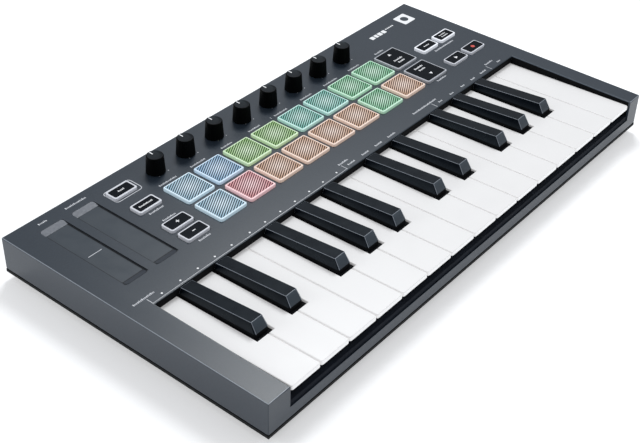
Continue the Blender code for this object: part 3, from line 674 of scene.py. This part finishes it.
def make_screws(material):
    """Pan-head screws with a cross recess, sunk in the nine posts of the tray."""
    shank = [(SCREW_SHANK_R, SCREW_TIP), (SCREW_SHANK_R, SCREW_HEAD_TOP)]
    head = [(SCREW_HEAD_R, SCREW_HEAD_TOP)]
    for inset, rise in SCREW_EDGE:
        head.append((SCREW_HEAD_R - inset, SCREW_HEAD_LOW + rise))
    posts = [(x, y) for x in POST_COLUMNS for y in POST_ROWS]
    for number, (x, y) in enumerate(posts, 1):
        recess = cross_ring(x, y, *CROSS_MOUTH, SCREW_HEAD_LOW)
        turn = [math.atan2(py - y, px - x) for px, py, _ in recess]
        rings = []
        for radius, z in shank + head:
            rings.append([(x + radius * math.cos(a), y + radius * math.sin(a), z) for a in turn])
        rings += [recess, cross_ring(x, y, *CROSS_FLOOR, SCREW_HEAD_LOW + CROSS_DEPTH)]
        shell = bmesh.new()
        skin(shell, rings)
        new_piece(f"case_screw_{number}", shell, CASE, [material])


def make_socket_trim(m):
    """Metal rings round both jacks, and the contacts on the tongue of the USB socket."""
    back = REAR - SOCKET_RING_T
    jacks = (("sustain_jack", JACK_X, JACK_RING_R), ("midi_jack", MIDI_X, MIDI_RING_R))
    for name, middle, outer in jacks:
        inner = outer - SOCKET_RING
        soft_corner = [(outer, REAR - 0.00005), (outer - 0.0001, REAR)]
        profile = [(outer, back)] + soft_corner + [(inner, REAR), (inner, back)]
        rings = []
        for radius, y in profile:
            rings.append([(x, y, z) for x, z, _ in circle(middle, SOCKET_Z, radius, 0.0, 40)])
        shell = bmesh.new()
        skin(shell, rings, hollow=True)
        new_piece(name + "_ring", shell, CASE, [m["metal"]])
    shell = bmesh.new()
    for x in (USB_X - CONTACT_X, USB_X + CONTACT_X):
        for z in (SOCKET_Z + 0.0016, SOCKET_Z - 0.0017):
            sides = (x - CONTACT_HALF, x + CONTACT_HALF, REAR - CONTACT_DEEP, REAR - CONTACT_NEAR)
            plate(shell, sides, z, z + CONTACT_T)
    new_piece("usb_contacts", shell, CASE, [m["gold"]])


def strip_height(y):
    """Height of a strip's surface: a flat floor between two ramps."""
    front = STRIP_DEPTH * (y - STRIP_FRONT) / STRIP_FRONT_RAMP
    rear = STRIP_DEPTH * (STRIP_REAR - y) / STRIP_REAR_RAMP
    return PANEL_Z - max(0.0, min(STRIP_DEPTH, front, rear))


def make_strip(side, left, m):
    """Touch film laid in its recess: a dark border of painted shade, a front ramp darkened as painted
    shade, a floor and a rear end made paler as painted light.
    """
    middle = left + STRIP_W / 2
    floor_front = STRIP_FRONT + STRIP_FRONT_RAMP
    floor_rear = STRIP_REAR - STRIP_REAR_RAMP
    before_fold, after_fold = FILM_FOLD
    front_end = floor_front - before_fold
    pieces = (("border", STRIP_FRONT, STRIP_REAR, FILM_SPACE, FILM_T / 2, m["recess_painted_shade"]),
              ("front", STRIP_FRONT + FILM_END_GAP, front_end, FILM_BORDER, FILM_T, m["ramp_front_painted_shade"]),
              ("film", floor_front + after_fold, floor_rear, FILM_BORDER, FILM_T, m["film"]),
              ("end", floor_rear + FILM_END_GAP, STRIP_REAR - FILM_SPACE, FILM_SPACE, FILM_T,
               m["ramp"]))
    corner = [0.0] + [inset for inset, _ in quarter_round(STRIP_CORNER, 6)]
    for part, y0, y1, side_gap, rise, material in pieces:
        front_round = corner if part in ("border", "front") else [0.0]
        rear_round = corner if part in ("border", "end") else [0.0]
        stations = [y0 + c for c in front_round]
        if part == "border":
            stations += [floor_front, floor_rear]
        stations += [y1 - c for c in reversed(rear_round)]
        rings = []
        for y in stations:
            near_front = y - y0 if len(front_round) > 1 else STRIP_CORNER
            near_rear = y1 - y if len(rear_round) > 1 else STRIP_CORNER
            half = STRIP_W / 2 - side_gap - corner_inset(min(near_front, near_rear))
            x0 = middle - half
            x1 = middle + half
            top = strip_height(y) + rise
            low = strip_height(y) - FILM_SINK
            rings.append([(x0, y, low), (x1, y, low), (x1, y, top), (x0, y, top)])
        shell = bmesh.new()
        skin(shell, rings)
        new_piece(f"{side}_strip_{part}", shell, CASE, [material])


def corner_inset(near):
    """How much narrower a strip is at a distance from its end, because of its round corners."""
    if near >= STRIP_CORNER:
        return 0.0
    return STRIP_CORNER - math.sqrt(STRIP_CORNER ** 2 - (STRIP_CORNER - near) ** 2)


# ---- the keys ----
def in_key_frame(pivot, y, z):
    """A point of the resting keybed seen from the pivot, with the key's own slope taken out."""
    dy = y - pivot.y
    dz = z - pivot.z
    return (dy * math.cos(KEY_SLOPE) - dz * math.sin(KEY_SLOPE),
            dy * math.sin(KEY_SLOPE) + dz * math.cos(KEY_SLOPE))


def seat(shell, pivot):
    """Move a key modelled round its pivot to its resting place."""
    place = Matrix.Translation(pivot) @ Matrix.Rotation(-KEY_SLOPE, 4, "X")
    bmesh.ops.transform(shell, matrix=place, verts=shell.verts)


def key_underside(shell, x, rib_front):
    """The rib and the pivot barrel under a key."""
    turn = Matrix.Rotation(math.pi / 2, 4, "Y")
    bmesh.ops.create_cone(shell, cap_ends=True, segments=24, radius1=PIVOT_R, radius2=PIVOT_R,
                          depth=BARREL_L, matrix=Matrix.Translation((x, 0.0, 0.0)) @ turn)
    plate(shell, (x - RIB_HALF, x + RIB_HALF, rib_front, RIB_REAR), -RIB_DEPTH, RIB_TOP)


def white_outline(node, pivot):
    """Plan of a white key round its own middle, with round front corners and its notches."""
    low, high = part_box(node)
    half = (high.x - low.x) / 2 + KEY_SWELL
    middle = (high.x + low.x) / 2
    front, top = in_key_frame(pivot, KEY_FRONT, KEY_FRONT_Z)
    notch, _ = in_key_frame(pivot, BLACK_HEAD, KEY_FRONT_Z)
    left = -half
    right = half
    for black in BLACK_KEYS:
        black_low, black_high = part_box(black)
        if black_low.x < low.x < black_high.x:
            left = black_high.x + BLACK_SPACE - middle
        if black_low.x < high.x < black_high.x:
            right = black_low.x - BLACK_SPACE - middle
    y = front + KEY_CORNER
    points = corner_arc(-half + KEY_CORNER, y, KEY_CORNER, 1.0)
    points += corner_arc(half - KEY_CORNER, y, KEY_CORNER, 1.5)
    if right < half:
        points += [(half, notch), (right, notch)]
    points += [(right, KEY_TAIL), (left, KEY_TAIL)]
    if left > -half:
        points += [(left, notch), (-half, notch)]
    return points, (left + right) / 2, top


def inset_outline(outline, amount):
    """An anticlockwise outline with every side moved inwards."""
    points = [Vector(point) for point in outline]
    moved = []
    for before, here, after in zip(points[-1:] + points[:-1], points, points[1:] + points[:1]):
        arriving = (here - before).normalized()
        leaving = (after - here).normalized()
        inward = Vector((-arriving.y - leaving.y, arriving.x + leaving.x))
        moved.append(here + inward * amount / (1 + arriving.dot(leaving)))
    return moved


def soft_prism(shell, outline, low, high, edge):
    """A prism with a rounded upper edge."""
    rings = [[(x, y, low) for x, y in outline]]
    for inset, drop in [(0.0, edge)] + quarter_round(edge):
        rings.append([(x, y, high - drop) for x, y in inset_outline(outline, inset)])
    skin(shell, rings)


def make_white_key(node, m):
    """Cap with a rounded upper edge, its front face in a finish of its own that glows more, as painted
    bounce light.
    """
    pivot = Vector(JOINT_OF[node]["pos_m"])
    outline, tail_x, top = white_outline(node, pivot)
    shell = bmesh.new()
    soft_prism(shell, outline, top - KEY_PLATE, top, KEY_EDGE)
    bmesh.ops.recalc_face_normals(shell, faces=shell.faces)
    for face in shell.faces:
        # Faces towards the front take the painted bounce light.
        face.material_index = int(face.normal.y < -0.5)
    key_underside(shell, tail_x, WHITE_RIB_FRONT)
    seat(shell, pivot)
    piece = new_piece(node + "_cap", shell, node, [m["ivory"], m["ivory_front_painted_bounce"]])
    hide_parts(node)


def black_section(front, rear, shape):
    """A cut through a black key, from a height at its front to a height at its rear."""
    half, nose_half, corner = shape
    (front_y, front_z), (rear_y, rear_z) = front, rear
    return [(-nose_half, front_y, front_z), (nose_half, front_y, front_z),
            (half, front_y + corner, front_z), (half, rear_y, rear_z),
            (-half, rear_y, rear_z), (-half, front_y + corner, front_z)]


def make_black_foot(node, pivot, rear, material):
    """Foot, tail, rib and barrel of a black key; tells how high the foot reaches."""
    foot_z = KEY_FRONT_Z - (BLACK_HEAD - KEY_FRONT) * math.tan(KEY_SLOPE) - BLACK_FOOT_LOW
    bottom = in_key_frame(pivot, KEY_FRONT, KEY_FRONT_Z)[1] - KEY_PLATE
    front, foot_top = in_key_frame(pivot, BLACK_HEAD + BLACK_SPACE, foot_z)
    shell = bmesh.new()
    skin(shell, [black_section((front, z), (rear, z), FOOT_SHAPE) for z in (bottom, foot_top)])
    tail_half, tail_lap, tail_t = BLACK_TAIL
    plate(shell, (-tail_half, tail_half, rear - tail_lap, KEY_TAIL), bottom, bottom + tail_t)
    key_underside(shell, 0.0, BLACK_RIB_FRONT)
    seat(shell, pivot)
    piece = new_piece(node + "_foot", shell, node, [material])
    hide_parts(node)
    return foot_top


def make_black_key(node, m):
    """Tapered cap with soft edges, on a wider dark foot that stays between the white keys; painted
    highlight on its ridges, painted light on its nose, painted shade on its foot and lowest band.
    """
    pivot = Vector(JOINT_OF[node]["pos_m"])
    rear_y = BED_REAR - BLACK_REAR_SPACE
    rear, _ = in_key_frame(pivot, rear_y, KEY_REAR_Z)
    # The foot takes the matte black of painted shade.
    cap_low = make_black_foot(node, pivot, rear, m["painted_shade_black"]) - BLACK_OVERLAP
    nose = in_key_frame(pivot, *BLACK_NOSE)
    nose_rear_z = 0.75 * KEY_REAR_Z + 0.25 * BLACK_TOP_REAR_Z
    nose_rear = in_key_frame(pivot, rear_y, nose_rear_z)
    top_front = in_key_frame(pivot, *BLACK_TOP)
    top_rear = in_key_frame(pivot, rear_y, BLACK_TOP_REAR_Z)
    levels = [((nose[0], cap_low), (rear, cap_low), BASE_SHAPE),
              (nose, nose_rear, NOSE_SHAPE),
              (top_front, top_rear, TOP_SHAPE)]
    shell = bmesh.new()
    base, middle, top = skin(shell, [black_section(*level) for level in levels])
    bmesh.ops.recalc_face_normals(shell, faces=shell.faces)
    finishes = [m["ebony"], m["painted_shade_black"], m["ebony_painted_highlight"], m["ebony_nose_painted_light"]]
    # Slots: the lowest band in painted shade, the ridges in painted highlight, the nose in painted
    # light.
    shade_band_slot, edge, lit_nose_slot = 1, 2, 3
    for face in shell.faces:
        if any(v in base for v in face.verts):
            face.material_index = shade_band_slot
        elif abs(face.calc_center_median().x) < 1e-6 and face.normal.y < -0.5:
            face.material_index = lit_nose_slot
    flank_starts = [loop[i] for loop in (middle, top) for i in (2, 5)]
    ridges = [e for e in shell.edges
              if any(v in top for v in e.verts) and not all(v in flank_starts for v in e.verts)]
    # The ridges are bevelled in the painted highlight.
    bmesh.ops.bevel(shell, geom=ridges, offset=BLACK_EDGE, offset_type="OFFSET", segments=3,
                    profile=0.5, affect="EDGES", clamp_overlap=True, material=edge)
    seat(shell, pivot)
    new_piece(node + "_cap", shell, node, finishes)


# ---- the pads ----
def cap_sides(node):
    """Sides of a pad's or button's cap, inside its flange."""
    return grow(sides_of(node), -FLANGE_EDGE)


def make_pad(node, tint):
    """Silicone pad: pale bright walls and rim, a patterned top that is a little crowned."""
    low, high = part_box(node)
    sides = cap_sides(node)
    rise = high.z - low.z
    rim_z = rise - PAD_CROWN
    width = sides[1] - sides[0]
    local = about(0.0, 0.0, width, width)
    flange = grow(local, FLANGE_EDGE)
    rings = [rounded_ring(flange, PAD_CORNER + FLANGE_EDGE, z) for z in (0.0, FLANGE_T)]
    rings += [rounded_ring(local, PAD_CORNER, z) for z in (FLANGE_T, rise - PAD_EDGE)]
    for inset, drop in quarter_round(PAD_EDGE, 4):
        rings.append(rounded_ring(grow(local, -inset), PAD_CORNER - inset, rim_z - drop))
    rim = rounded_ring(grow(local, -PAD_RIM), PAD_CORNER - PAD_RIM, rim_z)
    rings.append(rim)
    for share in (0.97, 0.7, 0.4, 0.15):
        z = rim_z + PAD_CROWN * (1 - share ** 2)
        rings.append([(x * share, y * share, z) for x, y, _ in rim])
    shell = bmesh.new()
    loops = skin(shell, rings)
    inner = {v for loop in loops[-5:] for v in loop}
    for face in shell.faces:
        face.material_index = int(all(v in inner for v in face.verts))
    piece = new_piece(node + "_cap", shell, CASE, list(tint))
    piece.location = (*centre_of(sides), low.z)
    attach(piece, node)
    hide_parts(node)


# ---- the buttons ----
def face_plate(shell, sides, top, inset):
    corner = CAP_CORNER - 0.4 * inset
    soft_block(shell, grow(sides, -inset), corner, top - FACE_SINK, top + FACE_RISE, 0.00005, 1)


def make_button(node, caps, m, body_material, inset, flange):
    """Translucent caps with a black face on each, on the flange or web that they share."""
    low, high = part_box(node)
    cap_top = high.z - FACE_RISE
    shell = bmesh.new()
    for sides in caps:
        soft_block(shell, sides, CAP_CORNER, low.z + FLANGE_T, cap_top, CAP_EDGE)
    flange(shell, sides_of(node), low.z)
    piece = new_piece(node + "_cap", shell, node, [body_material])
    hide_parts(node)
    shell = bmesh.new()
    for sides in caps:
        face_plate(shell, sides, cap_top, inset)
    new_piece(node + "_face", shell, node, [m["face"]])
    return high.z


def plain_flange(shell, sides, z):
    soft_block(shell, sides, CAP_CORNER + FLANGE_EDGE, z, z + FLANGE_T, 0.0002, 1)


def web(width, depth):
    """The link between two caps: a flat bar between their middles."""
    def link(shell, sides, z):
        plate(shell, about(*centre_of(sides), width, depth), z + 0.0002, z + 0.0012)
    return link


def rocker_caps(node, along_x):
    """Sides of a rocker's two caps, from the left or from the front."""
    x0, x1, y0, y1 = sides_of(node)
    if along_x:
        return [(x0, x0 + CAP_W, y0, y1), (x1 - CAP_W, x1, y0, y1)]
    return [(x0, x1, y0, y0 + CAP_D), (x0, x1, y1 - CAP_D, y1)]


def triangle(shell, x, y, size, turn, z):
    """A generic arrow head pointing along turn, in degrees from +X."""
    disc(shell, x, y, size, z, z + PRINT_RISE, 3, math.radians(turn))


def add_sign(node, shell, m):
    new_piece(node + "_sign", shell, node, [m["ink_bright"]])


def make_small_buttons(m):
    for node, length in (("shift_button", 0.0042), ("transpose_button", 0.0092)):
        sides = cap_sides(node)
        z = make_button(node, [sides], m, m["body"], FACE_INSET, plain_flange)
        shell = bmesh.new()
        label(shell, *centre_of(sides), length, SMALL_LABEL_H, z)
        add_sign(node, shell, m)


def make_nav_buttons(m):
    """Two large buttons, each with an arrow and two words."""
    for node, arrow_y, text_y, turn in (("nav_up_button", 0.0046, -0.0032, 90),
                                        ("nav_down_button", -0.0042, 0.0038, 270)):
        sides = cap_sides(node)
        z = make_button(node, [sides], m, m["body_grey"], LARGE_FACE_INSET, plain_flange)
        x, y = centre_of(sides)
        shell = bmesh.new()
        triangle(shell, x, y + arrow_y, 0.0014, turn, z)
        for word_y, length in ((0.0013, 0.0076), (-0.0015, 0.0060)):
            label(shell, x, y + text_y + word_y, length, 0.0014, z)
        add_sign(node, shell, m)


def make_octave_rocker(m):
    """A minus on the cap in front, a plus on the cap behind."""
    node = "octave_rocker"
    caps = rocker_caps(node, False)
    z = make_button(node, caps, m, m["body"], LARGE_FACE_INSET, web(*WEB_ALONG_Y))
    shell = bmesh.new()
    for sides in caps:
        plate(shell, about(*centre_of(sides), 0.0021, 0.0005), z, z + PRINT_RISE)
    x, y = centre_of(caps[1])
    for half_bar in (0.00068, -0.00068):
        plate(shell, about(x, y + half_bar, 0.0005, 0.0008), z, z + PRINT_RISE)
    add_sign(node, shell, m)


def make_mode_rocker(m):
    """One word on the left cap, two on the right one."""
    node = "mode_rocker"
    caps = rocker_caps(node, True)
    z = make_button(node, caps, m, m["body_lit"], FACE_INSET, web(*WEB_ALONG_X))
    shell = bmesh.new()
    label(shell, *centre_of(caps[0]), 0.0048, 0.0011, z)
    x, y = centre_of(caps[1])
    for word_y in (0.0010, -0.0010):
        label(shell, x, y + word_y, 0.0062, 0.0010, z)
    add_sign(node, shell, m)


def make_transport_rocker(m):
    """A play sign on the left cap, a red record sign on the right one."""
    node = "transport_rocker"
    caps = rocker_caps(node, True)
    z = make_button(node, caps, m, m["body"], TRANSPORT_INSET, web(*WEB_ALONG_X))
    shell = bmesh.new()
    triangle(shell, *centre_of(caps[0]), 0.0015, 0, z)
    add_sign(node, shell, m)
    shell = bmesh.new()
    disc(shell, *centre_of(caps[1]), 0.0013, z, z + PRINT_RISE)
    new_piece(node + "_record_sign", shell, node, [m["red"]])


# ---- the knobs ----
def make_knob(node, m):
    """Fluted cap with a dished top, lighter than its sides as painted light, and a pale pointer line
    that glows as painted light.
    """
    low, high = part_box(node)
    x, y = centre_of(sides_of(node))
    base_r = (high.x - low.x) / 2
    rise = high.z - low.z
    steps = KNOB_FLUTES * FLUTE_POINTS
    shoulder = rise - KNOB_EDGE
    foot = ((base_r - 0.0006, 0.0), (base_r - 0.0001, 0.0), (base_r, 0.0001), (base_r, 0.0007))
    rings = [profile_ring(radius, z, steps) for radius, z in foot]
    for share, depth in ((0.10, 0.6), (0.14, 1.0), (0.90, 1.0), (0.97, 0.5)):
        radius = base_r + (KNOB_TOP_R - base_r) * share
        rings.append(profile_ring(radius, shoulder * share, steps, KNOB_FLUTES, FLUTE_DEPTH * depth))
    for inset, drop in [(0.0, KNOB_EDGE)] + quarter_round(KNOB_EDGE):
        rings.append(profile_ring(KNOB_TOP_R - inset, rise - drop, steps))
    dish_r = KNOB_TOP_R - KNOB_EDGE - 0.0004
    rings.append(profile_ring(dish_r, rise - KNOB_DISH * 0.4, steps))
    for share in (0.92, 0.6, 0.25):
        rings.append(profile_ring(dish_r * share, rise - KNOB_DISH * (1.1 - 0.1 * share), steps))
    shell = bmesh.new()
    loops = skin(shell, rings)
    top = {v for loop in loops[-5:] for v in loop}
    # The dished top takes the painted light.
    for face in shell.faces:
        face.material_index = int(all(v in top for v in face.verts))
    piece = new_piece(node + "_cap", shell, CASE, [m["knob"], m["knob_top_painted_light"]])
    piece.location = (x, y, low.z)
    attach(piece, node)
    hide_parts(node)
    shell = bmesh.new()
    line = (x - POINTER_HALF, x + POINTER_HALF, y + POINTER_START, y + KNOB_TOP_R - 0.0003)
    soft_block(shell, line, 0.00012, high.z - KNOB_DISH * 1.3, high.z - 0.00002, 0.00004, 1)
    new_piece(node + "_pointer", shell, node, [m["pointer"]])


# ---- the prints on the panel ----
# Labels: distance from the left edge, on the panel also from the rear edge, and length. A row
# is a distance from the rear edge. Distances are in millimetres, lengths in metres.
PAD_ROW = 26.7
GROUP_ROW = 84.2
BAR_ROW = 87.8
KEY_ROW = 87.7
PANEL_LABELS = ((21, 5.5, 0.0052), (42.5, 5.5, 0.0135), (65, 40.1, 0.0095), (65, 49.0, 0.0085),
                (65, 73.6, 0.0082), (267.5, 26.7, 0.0080), (267.5, 73.5, 0.0085), (301.2, 52.0, 0.0190))
PAD_LABELS = (0.0125, 0.0110, 0.0085, 0.0090, 0.0105, 0.0095, 0.0120, 0.0100)
GROUP_LABELS = ((13.3, 0.0130), (160.0, 0.0075), (235.0, 0.0220), (302.0, 0.0075))
GROUP_BARS = (14.0, 156.8, 239.9, 297.0)
KEY_LABELS = ((162.9, 0.0060), (174.9, 0.0055), (186.8, 0.0060), (198.6, 0.0065), (246.1, 0.0035),
              (257.5, 0.0035), (268.9, 0.0035), (279.6, 0.0040), (290.7, 0.0060), (307.7, 0.0030))
SCALE_DOTS = (21.6, 33.7, 45.4, 57.1, 68.9, 82.0, 93.4, 104.9, 116.3, 127.7, 138.9, 150.2)
# Blocks beside the badge: width and space, in metres.
BADGE_BLOCKS = ((0.0032, 0.0009), (0.0024, 0.0009), (0.0032, 0.0009), (0.0030, 0.0010))


def printed(x_mm, y_mm):
    """A place on the panel, in millimetres from its left and its rear edge."""
    return LEFT + x_mm / 1000, REAR - y_mm / 1000


def print_words(z, material):
    """The panel's labels, small dots over the pads and the bars beside the keybed's labels."""
    top = z + PRINT_RISE
    shell = bmesh.new()
    for x, y, length in PANEL_LABELS:
        label(shell, *printed(x, y), length, LABEL_H, z)
    for column, length in enumerate(PAD_LABELS, 1):
        x, _ = centre_of(sides_of(f"pad_rear_{column}"))
        label(shell, x - 0.002, printed(0, PAD_ROW)[1], length, SMALL_LABEL_H, z)
        disc(shell, x - 0.0018, REAR - 0.0204, 0.0003, z, top, 10)
        disc(shell, x + 0.0050, REAR - 0.0200, 0.0003, z, top, 10)
    for x, length in GROUP_LABELS:
        label(shell, *printed(x, GROUP_ROW), length, LABEL_H, z)
    for x, length in KEY_LABELS:
        label(shell, *printed(x, KEY_ROW), length, SMALL_LABEL_H, z)
    for x in GROUP_BARS:
        plate(shell, about(*printed(x, BAR_ROW), 0.00032, 0.0044), z, top)
    new_piece("panel_words", shell, CASE, [material])


def print_lines(z, material):
    """The mark on the left strip, the ring round the shift button and two thin lines."""
    top = z + PRINT_RISE
    shell = bmesh.new()
    px, py = printed(22.1, 42.1)
    film_z = strip_height(py) + FILM_T
    plate(shell, about(px, py, 0.0085, 0.00036), film_z, film_z + 0.00004)
    x0, y1 = printed(56.0, 10.0)
    x1, y0 = printed(74.3, 21.4)
    frame_ring(shell, grow((x0, x1, y0, y1), 0.00008), 0.00228, 0.00044, z, top)
    edge_y = BED_REAR + 1.4 * EDGE_ROUND
    edge_end, _ = printed(156.8, 0)
    plate(shell, (BED_LEFT - EDGE_ROUND, edge_end, edge_y, edge_y + 0.00022), z, top)
    plate(shell, about(*printed(167.3, PAD_ROW), 0.00025, 0.0016), z, top)
    new_piece("panel_lines", shell, CASE, [material])


def make_prints(m):
    """Prints start just under the panel's surface."""
    z = PANEL_Z - 0.00002
    print_words(z, m["ink"])
    dots = bmesh.new()
    for x in SCALE_DOTS:
        disc(dots, *printed(x, KEY_ROW), 0.00055, z, z + PRINT_RISE, 12)
    new_piece("scale_dots", dots, CASE, [m["ink_bright"]])
    print_lines(z, m["ink"])
    make_badge(m, z)


def make_badge(m, z):
    """A plain square plate with one disc, and a row of plain blocks beside it."""
    top = z + PRINT_RISE
    badge_top = z + 2 * PRINT_RISE
    x0, y1 = printed(307.2, 7.7)
    x1, y0 = printed(317.8, 18.2)
    shell = bmesh.new()
    soft_block(shell, (x0, x1, y0, y1), 0.0009, z, badge_top, 0.00003, 1)
    px, py = printed(278.6, 13.4)
    for width, space in BADGE_BLOCKS:
        plate(shell, (px - 0.0015, px - 0.0015 + width, py - 0.0016, py + 0.0016), z, top)
        px += width + space
    for _ in range(5):
        plate(shell, (px - 0.0010, px, py + 0.0004, py + 0.0016), z, top)
        px += 0.0017
    new_piece("badge_plate", shell, CASE, [m["ink_bright"]])
    shell = bmesh.new()
    disc(shell, *centre_of((x0, x1, y0, y1)), 0.0027, badge_top, badge_top + PRINT_RISE, 32)
    new_piece("badge_disc", shell, CASE, [m["film"]])


# ---- camera, light and floor ----
# Name, direction, distance, size and power of each light.
SOFTBOXES = (("softbox_behind", (0.455, 0.318, 0.855), 1.3, 0.42, 8.2),
             ("softbox_front", (0.62, -0.75, 0.38), 3.0, 1.9, 14.0),
             ("softbox_left", (-0.80, 0.45, 0.35), 1.1, 0.4, 1.7))


def make_camera():
    """The viewpoint of the reference view."""
    camera = add_object("camera", bpy.data.cameras.new("camera"))
    camera.location = (-0.4354313, -0.3250752, 0.3969948)
    camera.rotation_euler = [math.radians(a) for a in (52.918, -1.932, -51.452)]
    camera.data.lens = 69.013
    camera.data.sensor_width = 36.0
    camera.data.shift_x = -0.03558
    camera.data.shift_y = -0.00730
    camera.data.clip_start = 0.01
    bpy.context.scene.camera = camera


def add_softbox(name, direction, distance, size, power):
    """A square area light that looks at the middle of the object."""
    light = bpy.data.lights.new(name, "AREA")
    light.size = size
    light.energy = power
    light.color = SOFTBOX_TINT
    lamp = add_object(name, light)
    towards = Vector(direction).normalized()
    lamp.location = Vector((0.0, 0.0, PANEL_Z)) + towards * distance
    lamp.rotation_mode = "QUATERNION"
    lamp.rotation_quaternion = towards.to_track_quat("Z", "Y")


def make_studio():
    """Pale floor, even surroundings and three softboxes."""
    world = bpy.data.worlds.new("studio")
    world.use_nodes = True
    background = world.node_tree.nodes["Background"]
    background.inputs["Color"].default_value = (*linear("#f4f6fa"), 1.0)
    background.inputs["Strength"].default_value = 0.46
    bpy.context.scene.world = world
    shell = bmesh.new()
    bmesh.ops.create_grid(shell, x_segments=1, y_segments=1, size=3.0)
    mesh = bpy.data.meshes.new("floor")
    shell.to_mesh(mesh)
    shell.free()
    floor = add_object("floor", mesh)
    floor.location.z = -0.0001
    white = (1.0, 1.0, 1.0)
    paper = finish("floor_paper", (0.93, 0.93, 0.935), 0.9, (0.004, 0.2), glow=(white, 0.38))
    mesh.materials.append(paper)
    for settings in SOFTBOXES:
        add_softbox(*settings)
    bpy.context.scene.view_settings.view_transform = "Standard"


def build():
    m = make_materials()
    make_camera()
    make_studio()
    make_case(m)
    for node in WHITE_KEYS:
        make_white_key(node, m)
    for node in BLACK_KEYS:
        make_black_key(node, m)
    for row, tints in PAD_COLOURS.items():
        for column, tint in enumerate(tints, 1):
            make_pad(f"pad_{row}_{column}", m[tint])
    make_small_buttons(m)
    make_nav_buttons(m)
    make_octave_rocker(m)
    make_mode_rocker(m)
    make_transport_rocker(m)
    for number in range(1, KNOBS + 1):
        make_knob(f"knob_{number}", m)
    make_prints(m)


build()
bpy.context.view_layer.update()
